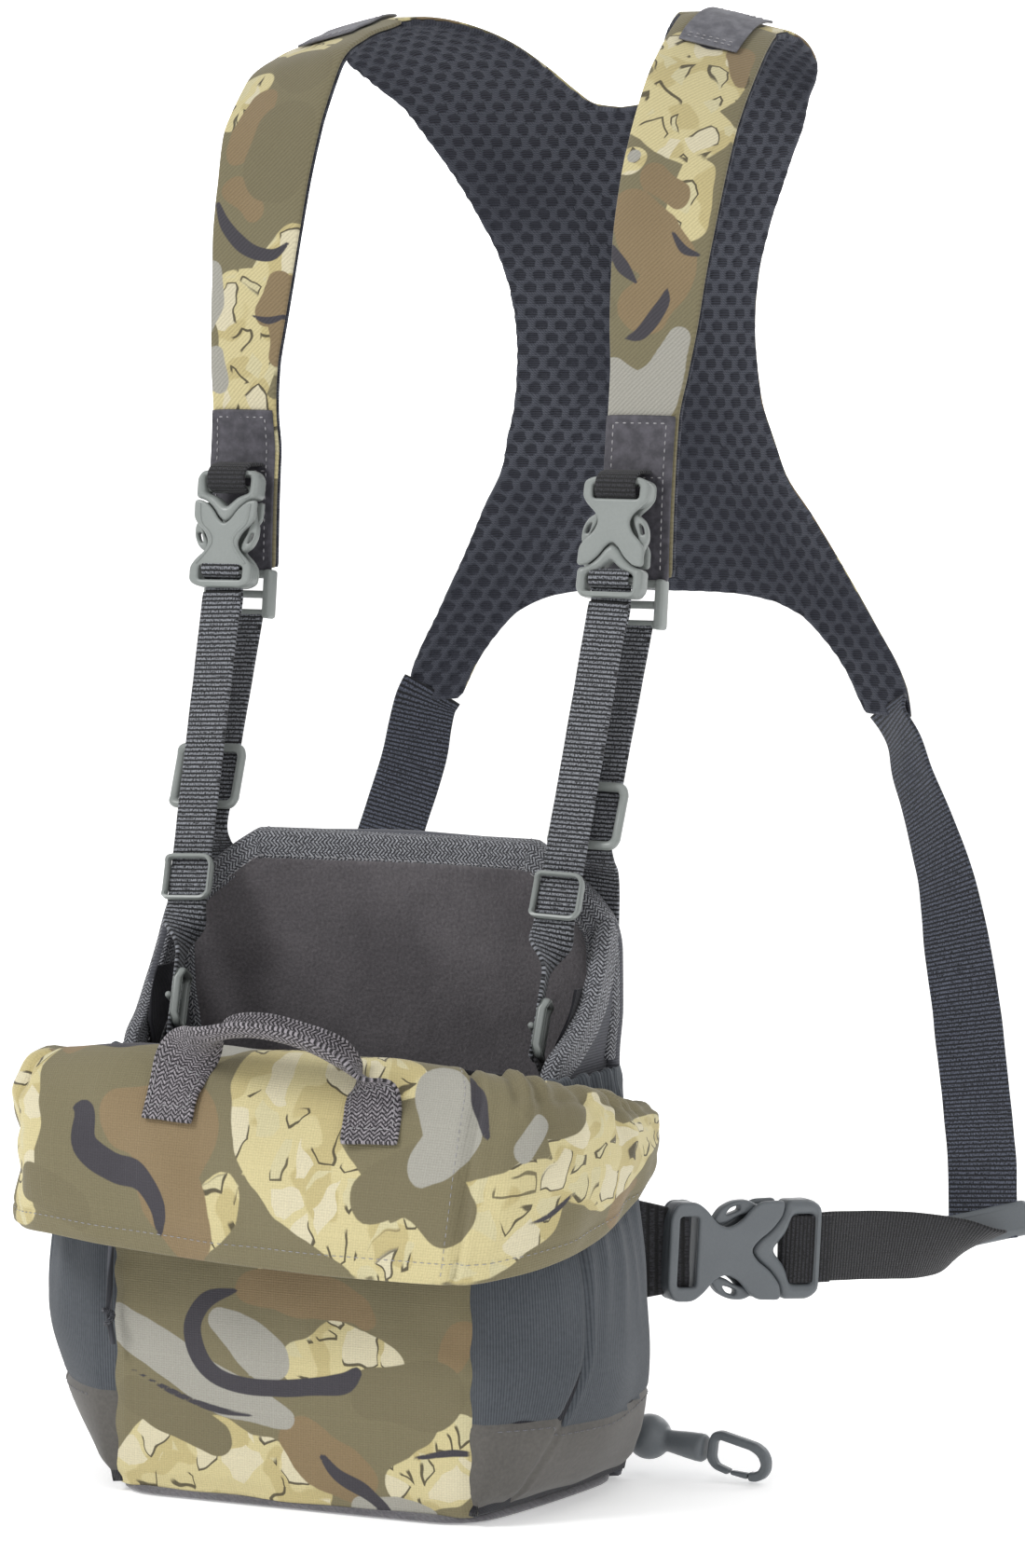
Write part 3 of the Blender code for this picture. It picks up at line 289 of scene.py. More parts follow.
def camo_material(name, knit=False, gain=1.0):
    n = NB(name, .9, .2)
    uv = n.uv()
    w = n.vmath("SUBTRACT", n.noise(uv, .045, 1.5, .45, True), (.5, .5, .5))
    wn, wm, _ = n.sep(w)

    def g(c):
        return lin([min(255, x * gain) for x in c])

    def layer(key, amp, shift=0.0):
        d = n.math("ADD", n.attr(key), n.math("MULTIPLY", wn if key in ("c_tan", "c_grey") else wm, amp))
        return n.step(n.math("ADD", d, shift), .28, -.28)
    col = g((119, 112, 87))
    # tan ground with cream patches and thin dark scale arcs
    warp = n.vmath("ADD", uv, n.vmath("SCALE", n.vmath("SUBTRACT", n.noise(uv, .10, 1.0, .4, True), (.5, .5, .5)), scale=8.0))
    cell = n.vmath("MULTIPLY", warp, (1.0, .88, 0.0))
    q = 1 / 11.5
    v = n.voronoi(cell, q, .78)
    v2 = n.voronoi(cell, q, .78)
    v2.feature = "DISTANCE_TO_EDGE"
    d = n.vmath("SUBTRACT", cell, n.vmath("SCALE", v.outputs["Position"], scale=1.0))
    dx, dy, _ = n.sep(d)
    cr, cg, cb = n.sep(v.outputs["Color"])
    edge = n.math("SUBTRACT", v2.outputs["Distance"], n.math("ADD", .075, n.math("MULTIPLY", cb, .05)))
    patch = n.math("MULTIPLY", n.step(edge, -.012, .012), n.step(cr, .30, .32))
    low = n.step(n.math("ADD", dy, n.math("MULTIPLY", dx, -.55)), .8, -.8)
    arc = n.math("MULTIPLY", n.step(n.math("ABSOLUTE", edge), .034, .016), low)
    arc = n.math("MULTIPLY", arc, n.step(cg, .28, .30))
    tan = n.mix(n.step(n.noise(uv, .055, 1.0), .44, .47), g((184, 171, 124)), g((198, 187, 142)))
    tan = n.mix(patch, tan, n.mix(n.step(cb, .5, .52), g((205, 197, 168)), g((196, 188, 150))))
    tan = n.mix(n.math("MULTIPLY", arc, .9), tan, g((66, 60, 48)))
    col = n.mix(layer("c_tan", 11.0), col, tan)
    col = n.mix(layer("c_brown", 9.0), col, n.mix(n.noise(uv, .02), g((124, 107, 80)), g((140, 122, 93))))
    col = n.mix(layer("c_olive", 7.0), col, g((115, 108, 84)))
    col = n.mix(layer("c_grey", 6.0), col, g((158, 156, 147)))
    col = n.mix(layer("c_dark", 2.0), col, g((66, 64, 69)))
    x, y, _ = n.sep(uv)
    if knit:
        a = n.math("ADD", n.math("MULTIPLY", x, .7), n.math("MULTIPLY", y, .7))
        h = n.wave(a, 1.25, 1.2)
    else:
        h = n.math("ADD", n.math("MULTIPLY", n.wave(x, .95, 1.0), .5), n.math("MULTIPLY", n.wave(y, .8, 1.0), .5))
        rip = n.math("MAXIMUM", n.step(n.wave(x, 5.0), .12, .0), n.step(n.wave(y, 4.2), .14, .0))
        h = n.math("ADD", h, n.math("MULTIPLY", rip, .5))
    fine = n.noise(n.vmath("MULTIPLY", uv, (1.0, 2.2, 1.0)), 1.1, 2.0)
    # painted shade and highlight: the colour is multiplied by the weave relief h that also drives the bump (darker in
    # the grooves, lighter on the ribs and rip lines); the fine noise adds random tone
    shade = n.math("ADD", .86, n.math("ADD", n.math("MULTIPLY", h, .17), n.math("MULTIPLY", n.math("SUBTRACT", fine, .5), .36)))
    col = n.mix(1.0, col, n.xyz(shade, shade, shade), "MULTIPLY")
    soft = n.bump(n.noise(uv, .09, 2.0), 1.2, .35)
    return n.done(col, normal=n.bump(h, .22, .55, soft), sheen=.15)


def webbing_material(name, dark, light, pitch=1.25, herring=False, rough=.7):
    n = NB(name, rough, .35)
    uv = n.uv()
    x, y, _ = n.sep(uv)
    if herring:
        zig = n.math("ABSOLUTE", n.math("SUBTRACT", n.math("FRACT", n.math("MULTIPLY", x, 1 / 3.6)), .5))
        rib = n.wave(n.math("ADD", y, n.math("MULTIPLY", zig, 3.6)), pitch, 1.0)
    else:
        rib = n.wave(n.math("ADD", y, n.math("MULTIPLY", n.noise(uv, .35, 1.0), .25)), pitch, 1.0)
    across = n.wave(x, .85, .8)
    specks = n.noise(n.vmath("MULTIPLY", uv, (1.6, 1.2, 1.0)), 1.0, 2.0)
    # painted highlight: the light colour falls on the rib crests and cross-yarn crests that also drive the bump, broken
    # up by the speck noise
    f = n.math("MULTIPLY", n.step(rib, .45, .80), n.step(specks, .30, .62))
    f = n.math("MULTIPLY", f, n.math("ADD", .7, n.math("MULTIPLY", across, .3)))
    col = n.mix(f, lin(dark), lin(light))
    edge = n.noise(uv, .05, 1.0)
    col = n.mix(n.math("MULTIPLY", edge, .25), col, lin([c * .8 for c in dark]))
    h = n.math("ADD", rib, n.math("MULTIPLY", across, .35))
    return n.done(col, normal=n.bump(h, .30, .8), sheen=.1)


def cloth_material(name, c0, c1, rib=1.4, along="v", fuzz=0.0, rough=.95, bump=.25, spec=.15):
    """Plain cloth: fine ribs along one way, fuzz for fleece or felt."""
    n = NB(name, rough, spec)
    uv = n.uv()
    x, y, _ = n.sep(uv)
    big = n.noise(uv, .03, 2.0)
    fine = n.noise(uv, .9 if fuzz else .6, 3.0, .6)
    h = n.wave(x if along == "v" else y, rib, .9) if rib else fine
    f = n.math("ADD", n.math("MULTIPLY", big, .45), n.math("MULTIPLY", fine, .55))
    # with ribs, the rib crests that drive the bump are painted lighter: painted highlight on the ribs; the noise terms
    # give random tone
    if rib:
        f = n.math("ADD", n.math("MULTIPLY", f, .7), n.math("MULTIPLY", h, .35))
    col = n.mix(n.step(f, .25, .85), lin(c0), lin(c1))
    if fuzz:
        h = n.math("ADD", n.math("MULTIPLY", n.noise(uv, .5, 4.0, .7), 1.0), n.math("MULTIPLY", n.noise(uv, .16, 2.0), .8))
    return n.done(col, normal=n.bump(h, bump, .7), sheen=.5 if fuzz else .12)


def mesh_material(name):
    n = NB(name, .8, .3)
    uv = n.uv()
    x, y, _ = n.sep(uv)
    cell = n.attr("cell")
    yarn = n.wave(y, .9, 1.0)
    diag = n.wave(n.math("ADD", x, y), 1.1, 1.0)
    f = n.math("ADD", n.math("MULTIPLY", yarn, .35), n.math("MULTIPLY", diag, .35))
    # painted shade: where the cell mask marks the sunken cells of the relief the colour is the darker one (hole), the
    # raised yarn walls get the lighter one (top)
    top = n.mix(f, lin((40, 42, 49)), lin((94, 97, 107)))
    hole = n.mix(yarn, lin((25, 26, 31)), lin((58, 60, 69)))
    col = n.mix(n.step(cell, .30, .75), hole, top)
    col = n.mix(n.math("MULTIPLY", n.step(n.noise(uv, .012, 1.0), .4, .62), .45), col, lin((38, 40, 50)))
    return n.done(col, normal=n.bump(n.math("ADD", yarn, diag), .2, .6))


def leather_material(name, c0, c1):
    n = NB(name, .55, .4)
    uv = n.uv()
    v = n.voronoi(uv, .75, 1.0)
    f = n.noise(uv, .25, 3.0, .6)
    col = n.mix(n.step(f, .3, .75), lin(c0), lin(c1))
    r = n.math("ADD", .48, n.math("MULTIPLY", f, .25))
    return n.done(col, rough=r, normal=n.bump(v.outputs[0], .12, .5))


def plastic_material(name, c0, c1, rough=.42):
    n = NB(name, rough, .5)
    o = n.vmath("SCALE", n.obj(), scale=1000.0)
    grain = n.noise(o, 1.1, 3.0, .6)
    big = n.noise(o, .06, 2.0)
    col = n.mix(n.math("ADD", n.math("MULTIPLY", grain, .35), n.math("MULTIPLY", big, .5)), lin(c0), lin(c1))
    r = n.math("ADD", rough - .05, n.math("MULTIPLY", grain, .14))
    return n.done(col, rough=r, normal=n.bump(grain, .06, .45))


M = {
    "camo": camo_material("camo_fabric"),
    "camo_strap": camo_material("camo_strap_knit", True, .95),
    "stretch": cloth_material("stretch_fabric", (58, 62, 67), (86, 90, 95), 1.0, bump=.16),
    "guard": cloth_material("guard_fabric", (78, 76, 73), (98, 95, 91), 0, rough=.7, bump=.12, spec=.3),
    "panel": cloth_material("panel_fabric", (62, 63, 68), (88, 89, 95), 1.1, "u"),
    "dark": cloth_material("dark_lining", (32, 32, 36), (50, 50, 55), 1.0),
    "felt": cloth_material("felt", (74, 73, 77), (128, 126, 130), 0, fuzz=1, bump=.5),
    "fleece": cloth_material("fleece", (62, 59, 62), (102, 98, 101), 0, fuzz=1, bump=.9),
    "mesh": mesh_material("spacer_mesh"),
    "leather": leather_material("leather", (52, 51, 57), (80, 78, 85)),
    "patch": leather_material("leather_patch", (84, 84, 90), (112, 112, 118)),
    "web": webbing_material("webbing", (12, 13, 16), (142, 145, 152), 1.6),
    "web_dark": webbing_material("webbing_dark", (9, 9, 11), (50, 50, 55), 1.5),
    "web_blue": webbing_material("webbing_blue", (15, 17, 23), (92, 97, 112), 1.7),
    "bind": webbing_material("binding_tape", (34, 34, 39), (168, 170, 176), 1.5, True),
    "handle": webbing_material("handle_webbing", (30, 28, 32), (170, 164, 170), 1.6, True),
    "thread": cloth_material("thread", (126, 126, 130), (170, 168, 170), .5, bump=.1),
    "thread_dark": cloth_material("thread_dark", (92, 92, 96), (120, 120, 124), .5, bump=.1),
    "cordm": webbing_material("braided_cord", (34, 36, 42), (96, 98, 106), 1.0, True),
    "plastic": plastic_material("waist_plastic", (82, 87, 91), (108, 113, 117), .38),
    "plastic_l": plastic_material("shoulder_plastic", (116, 121, 119), (142, 147, 144), .34),
    "zip": plastic_material("zip_coil", (30, 31, 34), (52, 53, 56), .5),
}


# --------------------------------------------------------------- meshes ----
def mesh_from(name, co, quads, uv=None, mats=(), fmat=None, attrs=None, sharp=None):
    me = bpy.data.meshes.new(name)
    co = np.asarray(co, float) * MM
    quads = np.asarray(quads, np.int32)
    me.vertices.add(len(co))
    me.vertices.foreach_set("co", co.astype(np.float32).ravel())
    nf, k = quads.shape
    me.loops.add(nf * k)
    me.loops.foreach_set("vertex_index", quads.ravel())
    me.polygons.add(nf)
    me.polygons.foreach_set("loop_start", np.arange(nf, dtype=np.int32) * k)
    if uv is not None:
        me.uv_layers.new(name="UVMap")
    me.update(calc_edges=True)
    if uv is not None:
        me.uv_layers["UVMap"].data.foreach_set("uv", np.asarray(uv, np.float32)[quads.ravel()].ravel())
    for key, val in (attrs or {}).items():
        at = me.attributes.new(key, "FLOAT", "POINT")
        at.data.foreach_set("value", np.asarray(val, np.float32).ravel())
    for m in mats:
        me.materials.append(m)
    if fmat is not None:
        me.polygons.foreach_set("material_index", np.asarray(fmat, np.int32))
    me.shade_smooth()
    if sharp:
        me.set_sharp_from_angle(angle=math.radians(sharp))
    ob = bpy.data.objects.new(name, me)
    bpy.context.scene.collection.objects.link(ob)
    return ob


def grid_normals(P):
    a = np.empty_like(P)
    b = np.empty_like(P)
    a[1:-1], a[0], a[-1] = P[2:] - P[:-2], P[1] - P[0], P[-1] - P[-2]
    b[:, 1:-1], b[:, 0], b[:, -1] = P[:, 2:] - P[:, :-2], P[:, 1] - P[:, 0], P[:, -1] - P[:, -2]
    return unit(np.cross(a, b))


def slab(name, P, t0, t1, mat, uv=None, disp=None, back=None, attrs=None, bulge=1.0, rim_front=True, keep=None, back_disp=None):
    """Soft sheet with rounded edges from grid P (n, m, 3): faces at t0 and t1
    along the normal, with extra relief disp on the t1 side."""
    P = np.asarray(P, float)
    n, m = P.shape[:2]
    N = grid_normals(P)
    if uv is None:
        du = np.concatenate([[0], np.cumsum(np.linalg.norm(np.diff(P[:, m // 2], axis=0), axis=1))])
        dv = np.concatenate([[0], np.cumsum(np.linalg.norm(np.diff(P[n // 2], axis=0), axis=1))])
        uv = np.stack(np.meshgrid(du, dv, indexing="ij"), -1)
    d1 = np.zeros((n, m)) if disp is None else disp
    d0 = np.zeros((n, m)) if back_disp is None else back_disp
    front = P + N * (t1 + d1)[..., None]
    rear = P + N * (t0 + d0)[..., None]
    ring = [(i, 0) for i in range(n)] + [(n - 1, j) for j in range(1, m)] + [(i, m - 1) for i in range(n - 2, -1, -1)] + [(0, j) for j in range(m - 2, 0, -1)]
    ri = A3([r[0] for r in ring])
    rj = A3([r[1] for r in ring])
    ii, jj = np.clip(ri, 1, n - 2), np.clip(rj, 1, m - 2)
    e = unit(P[ri, rj] - P[ii, jj])
    f, b = front[ri, rj], rear[ri, rj]
    half = np.linalg.norm(f - b, axis=1)[:, None] / 2 * bulge
    nn = unit(f - b)
    mid = (f + b) / 2
    loops = [mid + nn * half * math.sin(a) / max(bulge, 1e-6) + e * half * math.cos(a) for a in (PI / 3.2, PI / 8, -PI / 8, -PI / 3.2)]
    k = n * m
    L = len(ring)
    co = np.vstack([front.reshape(-1, 3), rear.reshape(-1, 3)] + loops)
    idx = np.arange(k).reshape(n, m)
    q = np.stack([idx[:-1, :-1], idx[1:, :-1], idx[1:, 1:], idx[:-1, 1:]], -1).reshape(-1, 4)
    ringf = idx[ri, rj]
    rows = [ringf] + [2 * k + L * a + np.arange(L) for a in range(4)] + [ringf + k]
    faces = [q, q[:, ::-1] + k]
    for x, y in zip(rows, rows[1:]):
        faces.append(np.stack([x, y, np.roll(y, -1), np.roll(x, -1)], 1))
    quads = np.vstack(faces)
    if t1 < t0:
        quads = quads[:, ::-1]
    uvf = uv.reshape(-1, 2)
    uvr = uv[ri, rj]
    UV = np.vstack([uvf, uvf] + [uvr] * 4)
    at = {}
    for key, val in (attrs or {}).items():
        v = np.broadcast_to(val, (n, m))
        at[key] = np.concatenate([v.ravel(), v.ravel()] + [v[ri, rj]] * 4)
    fm = np.zeros(len(quads), np.int32)
    mats = [mat]
    if back is not None:
        mats.append(back)
        fm[len(q):2 * len(q)] = 1
        if not rim_front:
            fm[2 * len(q):] = 1
    return mesh_from(name, co, quads, UV, mats, fm, at)


def tube(name, pts, r, mat, sides=10, uvs=1.0, squash=None, caps=True):
    """Round cord mesh through pts; r a number or one per point."""
    p = np.asarray(pts, float)
    n = len(p)
    t = unit(np.gradient(p, axis=0))
    ref = np.array([0, 0, 1.0]) if abs(t[0][2]) < .9 else np.array([1.0, 0, 0])
    u = np.zeros_like(p)
    u[0] = unit(np.cross(t[0], ref))
    for i in range(1, n):
        v = u[i - 1] - t[i] * np.dot(u[i - 1], t[i])
        u[i] = unit(v)
    w = np.cross(t, u)
    r = np.broadcast_to(r, (n,))
    a = np.arange(sides) * 2 * PI / sides
    ring = p[:, None] + r[:, None, None] * (u[:, None] * np.cos(a)[None, :, None] + w[:, None] * np.sin(a)[None, :, None])
    co = ring.reshape(-1, 3)
    idx = np.arange(n * sides).reshape(n, sides)
    nx = np.roll(idx, -1, axis=1)
    q = np.stack([idx[:-1], nx[:-1], nx[1:], idx[1:]], -1).reshape(-1, 4)
    s = np.concatenate([[0], np.cumsum(np.linalg.norm(np.diff(p, axis=0), axis=1))])
    uv = np.stack([np.broadcast_to(a * float(np.mean(r)), (n, sides)), np.broadcast_to(s[:, None], (n, sides))], -1).reshape(-1, 2)
    if caps:
        c0, c1 = len(co), len(co) + 1
        co = np.vstack([co, p[:1] - t[:1] * r[0] * .6, p[-1:] + t[-1:] * r[-1] * .6])
        uv = np.vstack([uv, uv[:1], uv[-1:]])
        tri0 = np.stack([np.full(sides, c0), nx[0], idx[0], idx[0]], 1)
        tri1 = np.stack([np.full(sides, c1), idx[-1], nx[-1], nx[-1]], 1)
        me_q = [tuple(x) for x in q] + [tuple(x[:3]) for x in tri0] + [tuple(x[:3]) for x in tri1]
        me = bpy.data.meshes.new(name)
        me.from_pydata((co * MM).tolist(), [], me_q)
        l = me.uv_layers.new(name="UVMap")
        vi = np.zeros(len(me.loops), np.int32)
        me.loops.foreach_get("vertex_index", vi)
        l.data.foreach_set("uv", uv[vi].astype(np.float32).ravel())
        me.materials.append(mat)
        me.shade_smooth()
        ob = bpy.data.objects.new(name, me)
        bpy.context.scene.collection.objects.link(ob)
        return ob
    return mesh_from(name, co, q, uv, [mat])


def join(name, obs):
    """One mesh from several, keeping materials."""
    for o in bpy.context.selected_objects:
        o.select_set(False)
    for o in obs:
        o.select_set(True)
    bpy.context.view_layer.objects.active = obs[0]
    with bpy.context.temp_override(active_object=obs[0], object=obs[0], selected_objects=obs, selected_editable_objects=obs):
        bpy.ops.object.join()
    obs[0].name = name
    obs[0].data.name = name
    return obs[0]


def stitches(name, paths, mat, length=2.1, gap=1.1, r=.28, lift=.12):
    """Thread dashes along paths; each path is (points, outward normals)."""
    capsule = []
    K, S = 5, 6
    for pts, nor in paths:
        pts, nor = np.asarray(pts, float), np.broadcast_to(np.asarray(nor, float), np.shape(pts))
        both = np.hstack([pts, nor])
        ev, s = even(both, .25)
        total = s[-1]
        k = max(1, int(total / (length + gap)))
        pitch = total / k
        for c in range(k):
            a, b = c * pitch + (pitch - length) / 2, c * pitch + (pitch + length) / 2
            f = np.linspace(a, b, K)
            row = np.stack([np.interp(f, s, ev[:, d]) for d in range(6)], 1)
            capsule.append((row[:, :3], unit(row[:, 3:])))
    co, quads = [], []
    a = np.arange(S) * 2 * PI / S
    prof_r = A3([.25, .9, 1.0, .9, .25]) * r
    base = 0
    for p, nn in capsule:
        t = unit(np.gradient(p, axis=0))
        w = unit(np.cross(t, nn))
        cen = p + nn * (lift + A3([-.25, .1, .2, .1, -.25])[:, None] * r)
        ring = cen[:, None] + prof_r[:, None, None] * (w[:, None] * np.cos(a)[None, :, None] + nn[:, None] * np.sin(a)[None, :, None])
        co.append(ring.reshape(-1, 3))
        idx = base + np.arange(K * S).reshape(K, S)
        nx = np.roll(idx, -1, axis=1)
        quads.append(np.stack([idx[:-1], nx[:-1], nx[1:], idx[1:]], -1).reshape(-1, 4))
        quads.append(A3([[idx[0][0], idx[0][5], idx[0][4], idx[0][3]], [idx[0][0], idx[0][3], idx[0][2], idx[0][1]],
                         [idx[-1][0], idx[-1][1], idx[-1][2], idx[-1][3]], [idx[-1][0], idx[-1][3], idx[-1][4], idx[-1][5]]]))
        base += K * S
    co = np.vstack(co)
    return mesh_from(name, co, np.vstack(quads), co[:, [0, 2]], [mat])


def put(ob, body, slot=None, *nodes):
    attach(ob, body)
    if nodes:
        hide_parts(*nodes)
    return ob


# ================================================================ pouch ====
RIM, FH, FY, ZIP = 149.0, 68.0, -55.0, 107.0


def back_y(z, x=0.0):
    t = np.clip((np.asarray(z, float) - 35) / 125, 0, 1)
    return 45.0 - 9.5 * z / 225.0 - 8.0 * (0.5 - 0.5 * np.cos(PI * t)) * (x / 84.5) ** 2


SWELL = [(3, .14), (12, .42), (31, .80), (58, 1.0), (95, .87), (122, .61), (149, .37)]


def gusset(t, z, side):
    bulge = (27.0 if side > 0 else 38.0) * T(SWELL, z)
    y0, y1 = FY, back_y(z, 85) - 1.5
    x0, x1 = FH + 1.8, 84.5 + 2.2 - 3.5 * np.maximum(0, (20 - z) / 20)
    h = np.maximum(0.0, np.sin(PI * t ** .85)) ** .62
    return np.stack([side * (x0 + (x1 - x0) * t + bulge * h), y0 + (y1 - y0) * t, z + 0 * t], -1)


def front_y(x, z):
    full = T([(0, 2.3), (70, 2.3), (102, .5), (160, .5)], z)
    return FY - full * np.cos(np.clip(PI * x / (2 * FH), -PI / 2, PI / 2)) ** .8


def mgrid(a, b):
    return np.meshgrid(a, b, indexing="ij")


# felt base: board with a rolled rim and a raised inside
def base_ring(inset, z):
    inset = inset + (.7 if inset < 20 else 0)
    pts = [(-(66 - inset) + 2 * (66 - inset) * k / 24, FY - 1.0 + inset) for k in range(25)]
    side = []
    for k in range(1, 24):
        p = gusset(A3(0.04 + 0.92 * k / 24), A3(3.2), 1)
        side.append((min(p[0], 86.0) - 1.4 - inset, p[1] * (1 - inset / 60)))
    pts += side + [((78 - inset) * (1 - 2 * k / 24), 44.8 - (8.0 if inset > 3 else inset)) for k in range(25)]
    pts += [(-x, y) for x, y in side[::-1]]
    pts = A3(pts)
    for _ in range(3):
        pts = .25 * np.roll(pts, 1, axis=0) + .5 * pts + .25 * np.roll(pts, -1, axis=0)
    return np.hstack([pts, np.full((len(pts), 1), float(z))])


rings = [base_ring(i, z) for i, z in ((40, .0), (3, .0), (1.0, .15), (.25, .7), (0, 1.5), (.25, 2.4), (1.0, 2.95), (6.5, 3.1), (6.8, 7.4), (8, 8.0), (40, 8.0))]
R_, L_ = len(rings), len(rings[0])
idx = np.arange(R_ * L_).reshape(R_, L_)
nx = np.roll(idx, -1, axis=1)
q = np.stack([idx[:-1], nx[:-1], nx[1:], idx[1:]], -1).reshape(-1, 4)
co = np.vstack(rings)
me = bpy.data.meshes.new("felt_base")
me.from_pydata((co * MM).tolist(), [], [tuple(f) for f in q.tolist()] + [tuple(idx[0][::-1].tolist()), tuple(idx[-1].tolist())])
uvl = me.uv_layers.new(name="UVMap")
vi = np.zeros(len(me.loops), np.int32)
me.loops.foreach_get("vertex_index", vi)
uvl.data.foreach_set("uv", (co[vi][:, :2] + co[vi][:, 2:3]).astype(np.float32).ravel())
me.materials.append(M["felt"])
bm_ = bmesh.new()
bm_.from_mesh(me)
bmesh.ops.recalc_face_normals(bm_, faces=bm_.faces)
bm_.to_mesh(me)
bm_.free()
me.shade_smooth()
me.set_sharp_from_angle(angle=math.radians(50))
felt = bpy.data.objects.new("felt_base", me)
bpy.context.scene.collection.objects.link(felt)
put(felt, "pack", "felt_base", "base_panel")

# front pocket panel, in camo, with a turned seam at its edges
PLAN_FRONT = {
    "tan": [[(-58, 4, 14), (-44, 14, 16), (-20, 10, 17), (4, 8, 12)], [(6, 52, 8), (22, 57, 10), (36, 54, 8)], [(46, 12, 8), (62, 20, 12), (66, 30, 8)], [(-8, 84, 4), (6, 78, 6)]],
    "brown": [[(-14, 76, 7), (4, 75, 8), (24, 73, 7), (30, 68, 5)], [(6, 26, 8), (14, 18, 10), (26, 12, 8)], [(62, 58, 4), (66, 66, 6)]],
    "grey": [[(-66, 60, 7), (-48, 50, 8), (-28, 41, 8), (-10, 35, 6), (0, 32, 4)], [(-26, 64, 5), (-16, 58, 8), (-7, 52, 8)], [(30, 2, 6), (42, 1, 7), (52, 0, 5)]],
    "olive": [[(-62, 36, 6), (-46, 30, 7), (-28, 22, 6)], [(34, 44, 10), (54, 44, 12)]],
    "dark": [[(-20, 75, 1.0), (-31, 71, 3.0), (-37, 61, 3.6), (-33, 49, 3.6), (-22, 43, 3.2), (-6, 42, 2.9), (10, 44, 3.2), (22, 46, 3.8), (27, 50, 2.4)],
             [(-64, 45, .5), (-46, 38, .8), (-28, 33, .9), (-14, 32, .6)], [(14, 20, 1), (20, 14, 2.4), (30, 9, 2.6), (38, 2, 1.2)], [(48, 22, .6), (62, 25, 1.0), (68, 25, .8)]],
}
u = np.linspace(-FH - .9, FH + .9, 93)


def front_grid(z0, z1, n):
    X, Z = mgrid(u, np.linspace(z0, z1, n))
    Y = front_y(X, Z)
    return X, Y, Z


X, Y, Z = front_grid(3.4, 103.4, 68)
edge = np.clip(FH + .9 - np.abs(X), 0, 9)
roll = (1 - step01(edge / 4.2)) * 1.5 + (1 - step01((Z - 3.4) / 7)) * 2.0
pull = .38 * wob(X, Z, 34, 1) * step01(edge / 8) + .25 * np.sin((Z - 3.4) / 2.6 + wob(X, Z, 30, 5) * 2) * np.exp(-(FH - np.abs(X)) / 6) * step01((Z - 8) / 10)
P = np.stack([X, Y + roll, Z], -1)
front = slab("front_pocket", P, -2.4, 0, M["camo"], np.stack([X, Z], -1), pull, M["dark"], camo_fields(X, Z, PLAN_FRONT))
put(front, "pack", "camo_fabric", "front_panel")
X, Y, Z = front_grid(110.6, 148.6, 26)
P = np.stack([X, Y, Z], -1)
upper = slab("front_upper", P, -2.4, 0, M["camo"], np.stack([X, Z], -1), .3 * wob(X, Z, 30, 2), M["dark"], camo_fields(X, Z, random_plan(4, -70, 70, 100, 150)))
put(upper, "pack", "camo_fabric")
# zip: tape with two coils
X, Z = mgrid(np.linspace(-66.6, 66.6, 60), np.linspace(ZIP - 6.4, ZIP + 6.4, 9))
P = np.stack([X, front_y(X, Z) + 2.9, Z], -1)
tape = slab("zip_tape", P, -.5, 0, M["zip"], np.stack([X, Z], -1))
coils = []
for dz in (-1.15, 1.15):
    xs = np.linspace(-65.5, 65.5, 1050)
    ph = xs / 1.5 * 2 * PI
    coils.append(tube("coil", np.stack([xs, front_y(xs, ZIP) + 1.7 + .65 * np.sin(ph), ZIP + dz + 1.05 * np.cos(ph)], -1), .34, M["zip"], 5))
zipo = join("zip_coils", [tape] + coils)
put(zipo, "pack", "zip", "zip_chain")

# inner front wall: padded, its top edge rolled over
X, Z = mgrid(np.linspace(-66.0, 66.0, 60), np.linspace(8.6, 147.5, 60))
P = np.stack([X, front_y(X * .98, 149.0) + 3.6, Z], -1)
wall = slab("front_wall_pad", P, -8.2, 0, M["dark"], np.stack([X, Z], -1), None, M["fleece"], back_disp=-.5 * wob(X, Z, 24, 3))
put(wall, "pack", "stretch_fabric", "front_wall")

